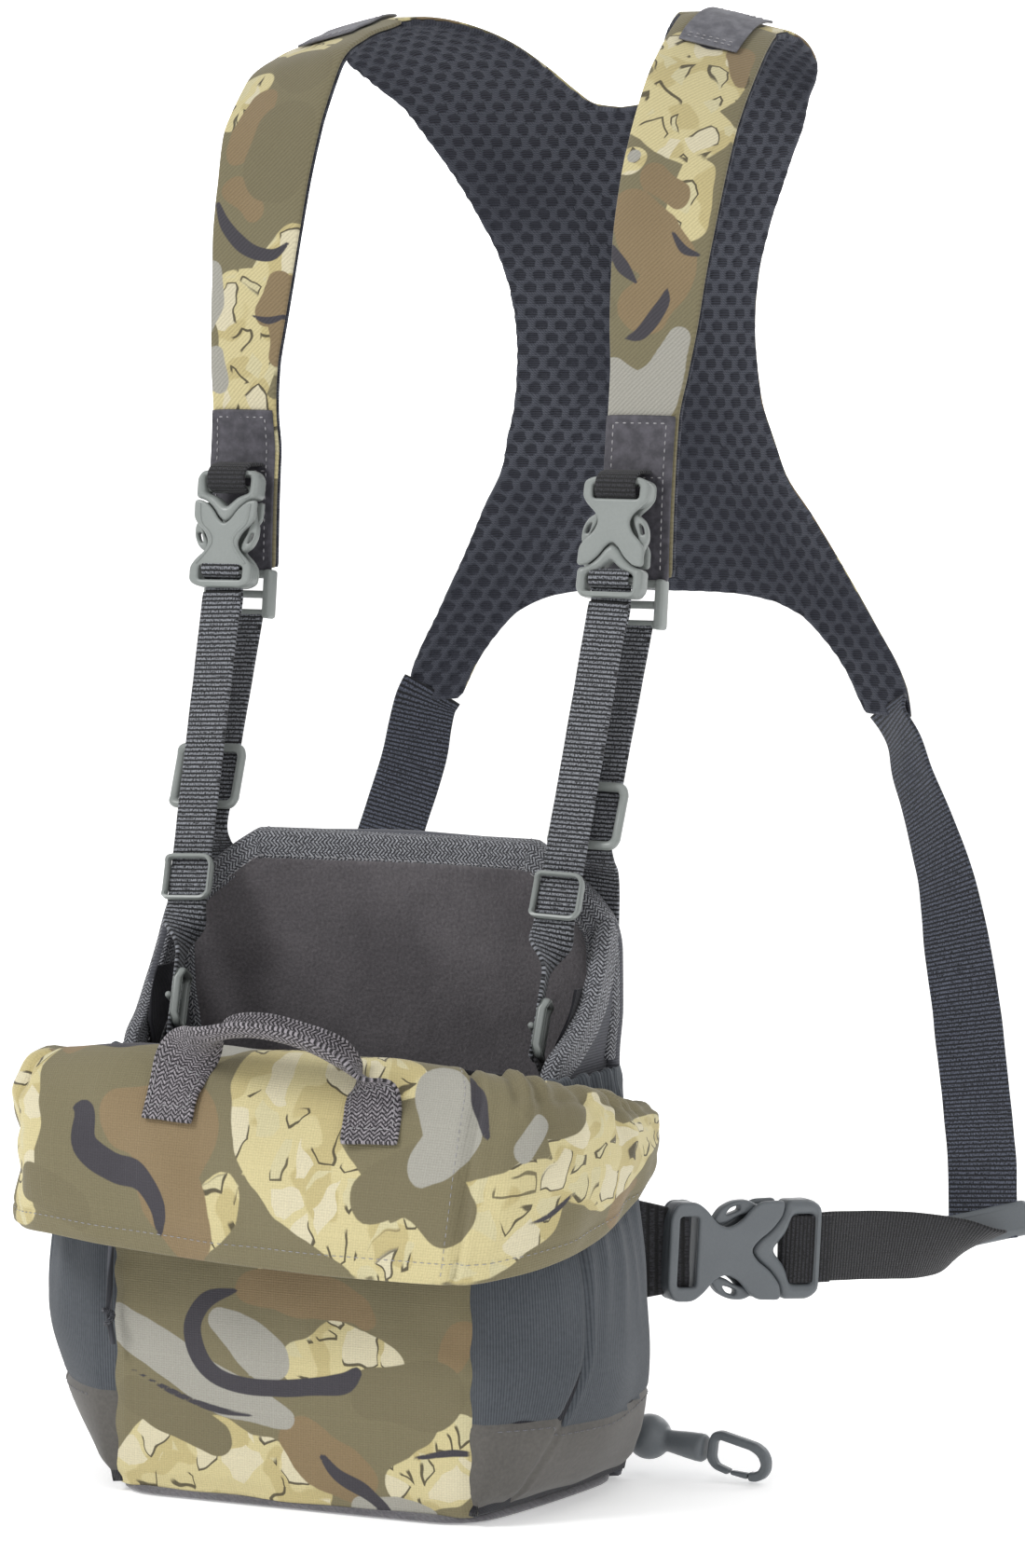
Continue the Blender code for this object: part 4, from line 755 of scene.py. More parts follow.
# side pockets: stretch cloth gathered under the hood, with a smooth base guard
for side, tag in ((1, "R"), (-1, "L")):
    s = -1 if side > 0 else 1
    tt = 1 - (1 - np.linspace(0, 1, 121)) ** 1.0
    zz = np.linspace(3.4, RIM, 92)
    Tg, Zg = mgrid(tt, zz)
    P = gusset(Tg, Zg, side)
    P[0, :, 0] = side * 66.2
    P[0, :, 1] = FY + 1.9
    arc = np.concatenate([[0], np.cumsum(np.linalg.norm(np.diff(P[:, 40], axis=0), axis=1))])
    U = np.broadcast_to(arc[:, None], Tg.shape)
    up = step01((Zg - 42) / 70)
    seam_t = .255 + .05 * np.sin((Zg - 3) / 60) - .10 * (1 - step01((Zg - 3) / 60))
    folds = np.zeros(Tg.shape)
    for k, (c, lean, w, a) in enumerate(((.10, .03, .030, 1.6), (.17, .05, .026, 1.2), (.36, -.05, .030, 1.9), (.45, -.07, .026, 1.5),
                                         (.56, -.05, .034, 2.0), (.66, .02, .028, 1.4), (.76, .05, .032, 1.7), (.87, .06, .024, 1.1))):
        cc = c + lean * (1 - (Zg - 3.4) / 145) * 1.6 + .012 * np.sin(Zg / 17 + k)
        wd = w * (1.5 - .7 * (Zg - 3.4) / 145)
        folds += 1.5 * a * np.exp(-((Tg - cc) / wd) ** 2) * up * (.6 + .4 * step01((Zg - 80) / 60))
    soft = 1.0 * wob(U, Zg, 46, 10 + side) * step01(Tg / .1) * step01((1 - Tg) / .1)
    groove = -1.5 * np.exp(-((Tg - seam_t) / .013) ** 2) + .5 * np.exp(-((Tg - seam_t - .024) / .012) ** 2)
    guard_top = 35.0 + (0 if side < 0 else -3.2) * step01((Tg - seam_t) / .02) + 4.0 * step01((Tg - .45) / .5)
    inguard = step01((guard_top - Zg) / .9)
    tuck = -.55 * np.exp(-((Zg - guard_top) / .9) ** 2)
    disp = (folds + soft * (.45 + .55 * (1 - inguard)) + groove * (.5 + .5 * (1 - inguard)) + .55 * inguard + tuck)
    disp = disp * step01(Tg / .02) * step01((1 - Tg) / .03) + .35 * np.sin(U / 2.1 + 3 * wob(U, Zg, 20, 7)) * step01((Zg - 128) / 20)
    bottom = (1 - step01((Zg - 3.4) / 8)) * 2.4
    disp = disp - bottom
    g = slab("side_pocket_" + tag, P, (-1.2 if side > 0 else 1.2), 0, M["stretch"], np.stack([U, Zg], -1), disp if side > 0 else -disp, M["dark"],
             attrs={"guard": inguard})
    me = g.data
    me.materials.append(M["guard"])
    k = (len(tt) - 1) * (len(zz) - 1)
    mi = np.zeros(len(me.polygons), np.int32)
    me.polygons.foreach_get("material_index", mi)
    cz = .5 * (Zg[:-1, :-1] + Zg[1:, 1:]) < .5 * (guard_top[:-1, :-1] + guard_top[1:, 1:])
    mi[:k][cz.ravel()] = 2
    me.polygons.foreach_set("material_index", mi)
    put(g, "pack", "stretch_fabric", "gusset_" + tag)
    area = float(np.sum(np.linalg.norm(np.cross(np.diff(P[:, :-1], axis=0), np.diff(P[:-1], axis=1)), axis=-1))) * 1e-6
    # stitch line along the guard's seam
    N = grid_normals(P) * side

    def on_g(ts, zs, lift=0.0):
        gi = np.interp(ts, tt, np.arange(len(tt)))
        gj = np.interp(zs, zz, np.arange(len(zz)))
        i0, j0 = np.clip(gi.astype(int), 0, len(tt) - 2), np.clip(gj.astype(int), 0, len(zz) - 2)
        fi, fj = (gi - i0)[:, None], (gj - j0)[:, None]
        Q = P + N * (disp + lift)[..., None]
        p = (Q[i0, j0] * (1 - fi) * (1 - fj) + Q[i0 + 1, j0] * fi * (1 - fj) + Q[i0, j0 + 1] * (1 - fi) * fj + Q[i0 + 1, j0 + 1] * fi * fj)
        return p, N[np.round(gi).astype(int), np.round(gj).astype(int)]
    ts = np.linspace(.03, .97, 200)
    gt = 35.0 + (0 if side < 0 else -3.2) * step01((ts - .2) / .02) + 4.0 * step01((ts - .45) / .5)
    st = stitches("guard_stitch_" + tag, [on_g(ts, gt - 1.9)], M["thread_dark"], 2.0, 1.0, .22, .1)
    put(st, "pack", "stretch_fabric")


# back panel (outer face towards the wearer) and its fleece lining
def half_panel(z):
    return T([(3.4, 79.5), (60, 84.1), (151, 84.5), (170, 86.4), (190, 86.6), (198, 85.0), (205, 80.0), (213, 71.0), (220, 62.0), (225, 54.0)], z)


def half_lining(z):
    return T([(8.4, 75.2), (60, 76.0), (126, 77.5), (178, 81.5), (192, 81.3), (199, 77.0), (208, 66.5), (216, 56.0)], z)


C, Z = mgrid(np.linspace(-1, 1, 101), np.concatenate([np.linspace(3.4, 196, 90), np.linspace(197, 225, 22)]))
X = half_panel(Z) * C
P = np.stack([X, back_y(Z, X), Z], -1)
bp = slab("back_pad", P, 0, 6.0, M["panel"], np.stack([X, Z], -1), .0 * X, M["panel"], back_disp=-.9 * (1 - np.abs(C) ** 6) * (1 - np.abs((Z - 114) / 111) ** 8) * .9 + .25 * wob(X, Z, 40, 8))
put(bp, "pack", "panel_fabric", "back_panel")
C, Z = mgrid(np.linspace(-1, 1, 91), np.concatenate([np.linspace(8.4, 190, 80), np.linspace(191, 216, 18)]))
X = half_lining(Z) * C
P = np.stack([X, back_y(Z, X), Z], -1)
bl = slab("back_fleece", P, 6.6, 9.2, M["fleece"], np.stack([X, Z], -1), .5 * wob(X, Z, 50, 9) * (1 - np.abs(C) ** 4) + .12 * wob(X, Z, 3.5, 19))
put(bl, "pack", "fleece", "back_lining")

# side wings of the bay
WX = [(8, 75.6), (60, 77.0), (120, 78.0), (149, 80.0), (175, 84.0), (203, 83.2)]
WEDGE = [(8.4, -16), (20, -32), (31, -40), (80, -41), (118, -39), (130, -34), (140, -28), (149, -21), (156, -16), (163, -6), (173, 4), (185, 12), (198, 19), (203, 24)]
for side, tag in ((1, "R"), (-1, "L")):
    F, Z = mgrid(np.linspace(0, 1, 44), np.linspace(8.4, 202, 110))
    wx = T(WX, Z)
    yf = T(WEDGE, Z)
    yr = back_y(Z, wx + 2) - 6.8
    P = np.stack([side * wx, yf + (yr - yf) * F, Z], -1)
    w = slab("bay_wing_" + tag, P, 0, 3.4 * side, M["panel"], np.stack([P[..., 1], Z], -1), None, M["dark"], back_disp=-side * .35 * wob(P[..., 1], Z, 30, 11))
    put(w, "pack", "stretch_fabric", "side_wing_" + tag)


def binding(name, path, inward, face, half_t, width, mat="bind"):
    """Tape folded over an edge: path on the panel's mid plane at its edge,
    inward in the panel's plane, face across its thickness."""
    p, inn, fc = np.asarray(path, float), unit(inward), unit(face)
    n = len(p)
    prof = [(width, half_t + .15)] + [(width * f, half_t + .75) for f in np.linspace(.96, .08, 9)]
    prof += [(-.55 - 0 * a, (half_t + .55) * math.cos(a)) if False else (-(half_t * .35 + .5) * math.sin(a), (half_t + .75) * math.cos(a)) for a in np.linspace(.35, PI - .35, 8)]
    prof += [(width * f, -(half_t + .75)) for f in np.linspace(.08, .96, 9)] + [(width, -(half_t + .15))]
    prof = A3(prof)
    s = np.concatenate([[0], np.cumsum(np.linalg.norm(np.diff(p, axis=0), axis=1))])
    pu = np.concatenate([[0], np.cumsum(np.linalg.norm(np.diff(prof, axis=0), axis=1))])
    G = p[:, None] + inn[:, None] * prof[None, :, :1] + fc[:, None] * prof[None, :, 1:]
    wv = .16 * wob(np.broadcast_to(s[:, None], G.shape[:2]), np.broadcast_to(pu[None], G.shape[:2]), 9, 31)
    UV = np.stack([np.broadcast_to(pu[None], G.shape[:2]), np.broadcast_to(s[:, None], G.shape[:2])], -1)
    ob = slab(name, G, 0, -.55, M[mat], UV, wv)
    k = [(G[:, j], (fc if j < 8 else -fc)) for j in (1, len(prof) - 2)]
    return ob, k, s


zs = np.linspace(152, 224.8, 46)
left = np.stack([-half_panel(zs), back_y(zs, half_panel(zs)) - 3.4, zs], -1)
cx = np.linspace(-53.5, 53.5, 50)
top = np.stack([cx, back_y(224.9, cx) - 3.4, np.full(50, 224.9)], -1)
loop = np.vstack([left, top[1:-1], (left * A3([-1, 1, 1]))[::-1]])
loop, _ = even(loop, 1.6)
t = unit(np.gradient(loop, axis=0))
fc = np.tile(A3([0, -1.0, -.04]), (len(loop), 1))
inn = unit(np.cross(t, fc))
if inn[len(inn) // 2][2] > 0:
    inn = -inn
bd, edges, _ = binding("panel_binding", loop, inn, fc, 4.4, 9.0)
put(bd, "pack", "webbing")
sts = stitches("panel_binding_stitch", [(edges[0][0] - A3([0, .0, 0]) - inn * 1.3, fc)], M["thread"], 1.9, 1.2, .2, .55)
put(sts, "pack", "webbing")
for side, tag in ((1, "R"), (-1, "L")):
    zs = np.linspace(122, 200, 60)
    wx = T(WX, zs) + 1.7
    e = np.stack([side * wx, T(WEDGE, zs), zs], -1)
    e, _ = even(e, 1.5)
    t = unit(np.gradient(e, axis=0))
    fcx = np.tile(A3([-side * 1.0, 0, 0]), (len(e), 1))
    inw = unit(np.cross(t, fcx))
    if inw[0][1] < 0:
        inw = -inw
    bw, ed, _ = binding("wing_binding_" + tag, e, inw, fcx, 1.9, 8.6)
    put(bw, "pack", "webbing")
    sw = stitches("wing_binding_stitch_" + tag, [(ed[0][0] - inw * 1.2, fcx)], M["thread"], 1.9, 1.2, .2, .5)
    put(sw, "pack", "webbing")
    # lens-cloth pocket on the wing's inside
    Y, Z = mgrid(np.linspace(-8, 20, 24), np.linspace(120, 178, 40))
    keepz = T(WX, Z)
    P = np.stack([side * (keepz - 1.4), Y + np.maximum(0, (Z - 160) * .55), Z], -1)
    pk = slab("lens_pocket_" + tag, P, 0, -1.1 * side, M["dark"], np.stack([Y, Z], -1), -side * .4 * wob(Y, Z, 18, 12))
    put(pk, "pack", "stretch_fabric")

# ================================================================= hood ====
HOOD = [(98, 27, 98, 26, 115, 134), (101.5, 14, 101.5, 14, 109, 138), (104, -8, 103.5, -8, 103, 143),
        (105, -32, 103.5, -30, 98, 149), (101, -54, 99, -46, 94, 153), (92, -71, 93, -56, 91, 155),
        (78.5, -80, 83, -60, 89, 156), (50, -82, 54, -62, 88.5, 158), (18, -82.5, 20, -63, 89, 158.5),
        (-18, -82.5, -20, -63, 90.5, 158.5), (-50, -82, -54, -62, 92.5, 158), (-79, -80, -84, -60, 95, 156),
        (-94, -72, -94, -57, 95, 155), (-106, -55, -102, -47, 96, 153), (-112.5, -32, -108.5, -30, 99, 149),
        (-112.5, -8, -109, -8, 103, 143), (-107.5, 14, -106, 14, 109, 138), (-101.5, 27, -101, 26, 115, 134)]
HS = cat(HOOD, 13)
st_i = np.arange(len(HS)) / 13.0            # station number of each column
HN = 46
f = np.linspace(0, 1, HN)
xb, yb, xt, yt, zb, zt = [HS[:, k][:, None] for k in range(6)]
out = np.stack([(xb + xt) / 2, (yb + yt) / 2 + 20, 0 * xb], -1)[:, 0]
out = unit(out)
puff = 4.3 * np.sin(PI * np.minimum(1, f * 1.05)) ** .8
roll = np.where(f > .80, -9.5 * ((f - .80) / .20) ** 2.2, 0)
x = xb + (xt - xb) * f
y = yb + (yt - yb) * f ** 1.5
z = zb + (zt - zb) * np.minimum(1.03, np.sin(np.minimum(1.0, f * 1.04) * PI / 2) * .30 + np.minimum(1.0, f * 1.06) * .70)
HP = np.stack([x, y, z], -1) + out[:, None] * (puff + roll)[None, :, None]
harc = np.concatenate([[0], np.cumsum(np.linalg.norm(np.diff(HP[:, 20], axis=0), axis=1))])
front_mid = np.interp(8.5, st_i, harc)
HU = np.broadcast_to(-(harc - front_mid)[:, None], HP.shape[:2])     # mm, positive to the right of the middle
HV = np.broadcast_to(np.linspace(90, 158, HN)[None], HP.shape[:2])
S_ = np.broadcast_to(st_i[:, None], HP.shape[:2])
Fv = np.broadcast_to(f[None], HP.shape[:2])
seamR = 6.15 + .12 * Fv                                             # front-right corner seam
seamL = 12.1
d = .9 * wob(HU, HV, 42, 21) + .35 * wob(HU, HV, 15, 22)
side_part = step01((5.9 - S_) / .6)
gather = np.exp(-((1.0 - Fv) / .30) ** 2)
d += side_part * gather * 2.2 * np.sin(HU / 1.9 + 1.5 * wob(HU, HV, 30, 23)) * (.6 + .4 * np.sin(HU / 11))
d += side_part * np.exp(-((Fv - .84) / .035) ** 2) * -1.3
d += side_part * 1.6 * wob(HU * 1.2, HV * .5, 17, 24) * (.35 + .65 * Fv)
d += -2.6 * np.exp(-((S_ - seamR) / .075) ** 2) + .6 * np.exp(-((S_ - seamR - .13) / .08) ** 2) + .8 * np.exp(-((S_ - seamR + .14) / .09) ** 2)
lpart = step01((S_ - 11.2) / 1.0)
d += lpart * (1.5 * np.sin(HV / 6.5 + .06 * HU + wob(HU, HV, 30, 25)) * np.exp(-((S_ - 12.3) / .7) ** 2) + .8 * wob(HU, HV, 18, 26))
d += -2.4 * np.exp(-((S_ - 12.15 - .12 * np.sin(HV / 14)) / .08) ** 2) * step01((Fv - .02) / .1) - 3.0 * step01((S_ - 12.0) / .8) * step01((.75 - Fv) / .5)
hem = np.exp(-((Fv - .085) / .010) ** 2)
d += -.55 * hem
d *= step01(Fv / .03 + .25)
tall = (7.4 - 4.6 * (1 - step01(Fv / .14))) * (1 - .35 * side_part)
PLAN_HOOD = {
    "tan": [[(-2, 150, 12), (10, 138, 19), (16, 120, 16), (44, 102, 12)], [(38, 148, 8), (52, 150, 9)], [(60, 98, 10), (84, 104, 15), (102, 112, 15)],
            [(116, 150, 9), (130, 128, 22), (150, 120, 18), (168, 128, 14), (185, 130, 12)], [(-100, 154, 9), (-100, 136, 12), (-98, 114, 11), (-97, 98, 7)], [(-150, 120, 22), (-185, 125, 20)], [(-20, 98, 7), (-12, 106, 9)]],
    "brown": [[(-52, 128, 9), (-36, 130, 12), (-22, 128, 9), (-34, 114, 13), (-26, 98, 11)], [(-104, 157, 5), (-84, 158, 6)], [(150, 98, 6), (166, 104, 5)]],
    "grey": [[(-30, 156, 5), (-18, 157, 6)], [(66, 144, 11), (72, 132, 10), (64, 122, 6)], [(98, 128, 5), (104, 136, 4)]],
    "olive": [[(46, 112, 8), (62, 118, 11), (76, 108, 9)], [(100, 152, 10), (112, 142, 11), (126, 152, 8)], [(-90, 104, 6), (-70, 98, 6)]],
    "dark": [[(-72, 131, 1.2), (-68, 129, 4.0), (-67, 119, 4.6), (-56, 113, 4.4), (-44, 111, 4.2), (-37, 103, 3.4), (-38, 95, 1.2)], [(76, 154, .6), (79, 144, 2.6), (84, 132, 1.0)],
             [(-76, 157, 2.6), (-62, 156, 3.2), (-52, 158, 1.2)], [(98, 104, .4), (112, 106, .9), (122, 112, .5)]],
}
hood = slab("hood", HP, 1.0, -1.0, M["camo"], np.stack([HU, HV], -1), -d, M["dark"], camo_fields(HU, HV, PLAN_HOOD), back_disp=(tall - 2.0) - d * .3, bulge=.8)
put(hood, "hood", "camo_fabric", "hood_shell")
d_hood = d
HNn = -grid_normals(HP)


def on_hood(ss, fs, lift=1.0):
    gi = np.interp(ss, st_i, np.arange(len(st_i)))
    gj = np.interp(fs, f, np.arange(HN))
    i0, j0 = np.clip(gi.astype(int), 0, len(st_i) - 2), np.clip(gj.astype(int), 0, HN - 2)
    fi, fj = (gi - i0)[:, None], (gj - j0)[:, None]
    Q = HP + HNn * (d + lift)[..., None]
    p = (Q[i0, j0] * (1 - fi) * (1 - fj) + Q[i0 + 1, j0] * fi * (1 - fj) + Q[i0, j0 + 1] * (1 - fi) * fj + Q[i0 + 1, j0 + 1] * fi * fj)
    return p, HNn[np.round(gi).astype(int), np.round(gj).astype(int)]


fs = np.linspace(.02, .97, 60)
ss = np.linspace(.4, 16.6, 600)
hs = stitches("hood_seams", [on_hood(np.full(60, 0) + 6.15 + .12 * fs + .16, fs), on_hood(ss, np.full(600, .075))], M["thread"], 1.7, 1.0, .16, .05)
put(hs, "hood", "camo_fabric")
# points along the right wing's top edge, where the elastic cord casing runs; nothing is built from them
se = np.linspace(.2, 5.9, 120)
p, nn = on_hood(se, np.full(120, .90), .6)
# lining skirt from the pouch's rim to the hood's rolled edge
rim_hi = HP[:, -1] - out * 2.0
rz = np.interp(st_i, [0, 4, 6, 11, 13, 17], [150, 150, 149.5, 149.5, 150, 150])
rimx, rimy = [], []
for k, (hx, hy) in enumerate(zip(rim_hi[:, 0], rim_hi[:, 1])):
    sd = 1 if hx > 0 else -1
    if abs(hx) < 66 and hy < -40:
        rimx.append(hx * .98)
        rimy.append(front_y(hx * .98, 149.0) + 5.0)
    else:
        tt_ = np.clip((hy + 60) / 95, 0, .92)
        g = gusset(A3(tt_), A3(148.0), sd)
        rimx.append(g[0] - sd * 1.5)
        rimy.append(g[1])
rim_lo = np.stack([rimx, rimy, rz - 1.5], -1)
for k in range(12):
    rim_lo[1:-1] = .25 * rim_lo[:-2] + .5 * rim_lo[1:-1] + .25 * rim_lo[2:]
ff = np.linspace(0, 1, 14)[None, :, None]
SK = rim_lo[:, None] * (1 - ff) + rim_hi[:, None] * ff
SK[..., 2] += (-3.0 * np.sin(PI * ff[..., 0])) + 0 * SK[..., 2]
parts = ((0, 5.9, "R", (70, 0, 149), (106, 0, 150)), (5.7, 12.3, "F", (0, -50, 149), (0, -64, 158)), (12.1, 17, "L", (-70, 0, 149), (-108, 0, 150)))
for a, b, tag, s0, s1 in parts:
    m = (st_i >= a) & (st_i <= b)
    G = SK[m]
    sk = slab("hood_skirt_" + tag, G, -.5, .3, M["dark"], np.stack([HU[m][:, :14], np.broadcast_to(np.linspace(0, 16, 14)[None], G.shape[:2])], -1), .5 * np.sin(HU[m][:, :14] / 2.6) * np.sin(PI * ff[..., 0]))
    A3(s0) * MM
    A3(s1) * MM
    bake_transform(sk)

# handle: webbing folded to a roll between two sewn feet
HANDLE = [((-34, -75.2, 137), (1, 0, .15)), ((-33, -70.0, 149), (1, 0, .15)), ((-28, -74.5, 159), (.85, .35, -.5)),
          ((-13, -82, 167.5), (.2, .9, .1)), ((5, -85, 170), (0, 1, .1)), ((24, -83, 166), (-.2, .95, .1)),
          ((37, -76.0, 157), (-.7, .5, .5)), ((42, -69.8, 148), (-1, 0, .2)), ((43.5, -76.5, 134), (-1, 0, .2))]


def hood_front(x, z, dist):
    g = (HP + HNn * (d_hood + 1.0)[..., None]).reshape(-1, 3)
    g = g[g[:, 1] < -40]
    k = np.argmin((g[:, 0] - x) ** 2 + (g[:, 2] - z) ** 2)
    return g[k, 1] - dist


hp = A3([list(p) for p, _ in HANDLE], float)
for k in range(len(hp)):
    if hp[k, 2] < 155:
        hp[k, 1] = min(hp[k, 1], hood_front(hp[k, 0], hp[k, 2], 1.6)) if k in (0, 8) else hood_front(hp[k, 0], hp[k, 2], 2.2)
hw = A3([w for _, w in HANDLE], float)
both, s = even(np.hstack([cat(hp, 14), cat(hw, 14)]), 1.1)
c, w = both[:, :3], both[:, 3:]
t = unit(np.gradient(c, axis=0))
w = unit(w - t * np.sum(w * t, 1)[:, None])
nn = np.cross(t, w)
fr_ = s / s[-1]
th = step01((fr_ - .17) / .13) * step01((.83 - fr_) / .13) * 1.30
cc = np.linspace(-.5, .5, 25)
Wd = 19.0
ang = cc[None] * 2 * np.maximum(th, .02)[:, None]
rad = Wd / (2 * np.maximum(th, .02))[:, None]
G = c[:, None] + w[:, None] * (rad * np.sin(ang))[..., None] + nn[:, None] * (rad * (1 - np.cos(ang)) - .3 * rad * (1 - np.cos(np.maximum(th, .02)))[:, None])[..., None]
Uh, Vh = np.broadcast_to(cc[None] * Wd, G.shape[:2]), np.broadcast_to(s[:, None], G.shape[:2])
hd = slab("carry_handle", G, -.8, .8, M["handle"], np.stack([Uh, Vh], -1), .25 * wob(Uh, Vh, 14, 41))
put(hd, "hood", "handle_webbing", "hood_handle")
NG = grid_normals(G)
paths = []
side_out = np.sign(NG[6, 12, 1]) * -1
for a, b in ((4, 17), (len(s) - 18, len(s) - 5)):
    for col in (2, 22):
        paths.append((G[a:b, col] + side_out * NG[a:b, col] * 1.0, side_out * NG[a:b, col]))
    for row in (a, b):
        paths.append((G[row, 2:23] + side_out * NG[row, 2:23] * 1.0, side_out * NG[row, 2:23]))
hst = stitches("handle_stitch", paths, M["thread"], 1.7, .8, .26, .1)
put(hst, "hood", "handle_webbing")

# ============================================================== harness ====
PROFILE = [(252, 235), (252, 255), (251, 280), (248, 308), (241, 340), (236, 368),
           (233, 395), (229, 422), (222, 447), (213, 470), (202, 488), (190, 499.5),
           (177, 507.5), (163, 512), (150.5, 511.8), (139, 507.3), (127.5, 500), (116, 490.8),
           (106.3, 480), (98, 469), (90, 456.5), (83, 438), (78.6, 421), (74.5, 404),
           (71, 388), (68, 372), (64.8, 342), (63.3, 312)]
WRAP = [(0, 14), (70, 14), (150, 9), (262, 13), (300, 5), (325, 0), (560, 0)]
TILT = [(0, 0), (235, 0), (290, 4), (320, 4.5), (355, 4.5), (385, 2), (415, 0), (560, 0)]
LEFT_PUSH = [(0, 0), (323, 0), (345, 6), (366, 12), (385, 11.5), (404, 9), (440, 8.5), (470, 7), (491, 3.5), (505, 0), (560, 0)]
YOKE_OUTER = [(20, 106), (30, 104.5), (38, 101.5), (54, 92.5), (78, 79), (98, 68),
              (113, 59), (125, 55.5), (144, 50.5), (165, 49), (175, 49.5), (190, 52),
              (210, 59), (225, 66), (237, 72), (248, 78), (262, 84), (273, 90),
              (285, 94), (298, 95), (311, 93.5), (322, 93.5), (336, 95)]
ARCH = [(0, 67), (15, 67), (30, 66.6), (45, 64.5), (60, 58.5), (72, 47), (80, 36), (86, 24)]
NECK = [(0, 255.5), (10, 257), (18, 264), (26, 276)]
STRAP_INNER = [(276, 26), (291, 35), (302, 43), (312, 51), (322, 57.5)]
STRAP_EDGE = [(322, 57.5, 93.5), (335, 59, 95), (350, 59.7, 96.4), (384, 60.3, 98.4), (404, 60.9, 99.4),
              (422, 61.2, 98.6), (440, 62.2, 97), (457, 63.6, 95.9), (475, 65.5, 93.8), (491, 66, 91.7), (546, 66, 91.2)]
LEFT_IN = [(320, 0), (385, 0), (410, 3.2), (460, 3.6), (491, 1.6), (505, 0), (560, 0)]
PC = cat([(0,) + p for p in PROFILE], 24)
PSA = np.concatenate([[0], np.cumsum(np.linalg.norm(np.diff(PC, axis=0), axis=1))])
PT = unit(np.gradient(PC, axis=0))


def on_harness(x, s, off=0.0):
    x, s = np.broadcast_arrays(np.asarray(x, float), np.asarray(s, float))
    y, z = np.interp(s, PSA, PC[:, 1]), np.interp(s, PSA, PC[:, 2])
    ty, tz = np.interp(s, PSA, PT[:, 1]), np.interp(s, PSA, PT[:, 2])
    ny, nz = tz, -ty
    a = np.abs(x)
    wrap = T(WRAP, s) * (1 - np.minimum(1.0, a / T(YOKE_OUTER, np.minimum(s, 325))) ** 2)
    tilt = T(TILT, s) * np.clip((78 - a) / 19, -1, .8)
    push = np.where(x < 0, T(LEFT_PUSH, s), 0)
    o = off + push
    return np.stack([x, y + wrap + ny * o, z + tilt + nz * o], -1)


def hexrelief(u, v, pu=7.3, pv=6.5):
    """1 on the yarn walls, 0 in the rounded cells of the spacer mesh."""
    row = np.round(v / (pv * .75))
    best = np.full(u.shape, 1e3)
    for dr in (-1, 0, 1):
        r = row + dr
        cu = (np.round((u - (np.mod(r, 2) * pu / 2)) / pu)) * pu + np.mod(r, 2) * pu / 2
        best = np.minimum(best, np.hypot((u - cu) / (pu * .50), (v - r * pv * .75) / (pv * .50)))
    return step01((best - .46) / .42)


ARCH_C, NECK_C, S_END = 60.0, 26.0, 321.4


def yoke_lattice(nl, nm, nu, sc, mc):
    N = 2 * sc + mc
    A0, A1 = sc, sc + mc
    rows, valid = [], []

    def full(inner, corner, os_):
        xo = float(T(YOKE_OUTER, os_))
        si = float(inner(corner))
        c = np.arange(N + 1)
        X = np.empty(N + 1)
        S = np.empty(N + 1)
        l, r, m = c < A0, c > A1, (c >= A0) & (c <= A1)
        w = c[l] / sc
        X[l], S[l] = -xo + (xo - corner) * w, os_ + (si - os_) * w
        w = (N - c[r]) / sc
        X[r], S[r] = xo - (xo - corner) * w, os_ + (si - os_) * w
        X[m] = corner * (2 * (c[m] - A0) / mc - 1)
        S[m] = inner(np.abs(X[m]))
        return X, S

    def arms(xi, si, xo, so):
        c = np.arange(N + 1)
        w = np.where(c <= A0, c / sc, np.where(c >= A1, (N - c) / sc, 1.0))
        X = (xo + (xi - xo) * w) * np.where(c <= A0, -1, 1)
        S = so + (si - so) * w
        ok = (c <= A0) | (c >= A1)
        return np.where(ok, X, 0), np.where(ok, S, si), ok
    ar = full(lambda x: T(ARCH, x), ARCH_C, 76.0)
    nr = full(lambda x: T(NECK, x), NECK_C, 262.0)
    for k in range(nl):
        w = k / nl
        xi = 87.5 + (ARCH_C - 87.5) * w
        si = float(T(ARCH, xi)) if xi <= 86 else 22.5 + (24 - 22.5) * (87.5 - xi) / 1.5
        so = 21 + 55 * w
        X, S, ok = arms(xi, si, float(T(YOKE_OUTER, so)), so)
        rows.append((X, S))
        valid.append(ok)
    allv = np.ones(N + 1, bool)
    rows.append(ar)
    valid.append(allv)
    wa, wb = float(T(YOKE_OUTER, 76.0)), float(T(YOKE_OUTER, 262.0))
    for k in range(1, nm):
        w = k / nm
        xo = float(T(YOKE_OUTER, 76 + 186 * w))
        rows.append((((ar[0] / wa) * (1 - w) + (nr[0] / wb) * w) * xo, ar[1] + (nr[1] - ar[1]) * w))
        valid.append(allv)
    rows.append(nr)
    valid.append(allv)
    for k in range(1, nu + 1):
        w = k / nu
        si, so = 276 + (S_END - 276) * w, 262 + (S_END - 262) * w
        X, S, ok = arms(float(T(STRAP_INNER, si)), si, float(T(YOKE_OUTER, so)), so)
        rows.append((X, S))
        valid.append(ok)
    return A3([r[0] for r in rows]), A3([r[1] for r in rows]), A0, A1, nl, nm


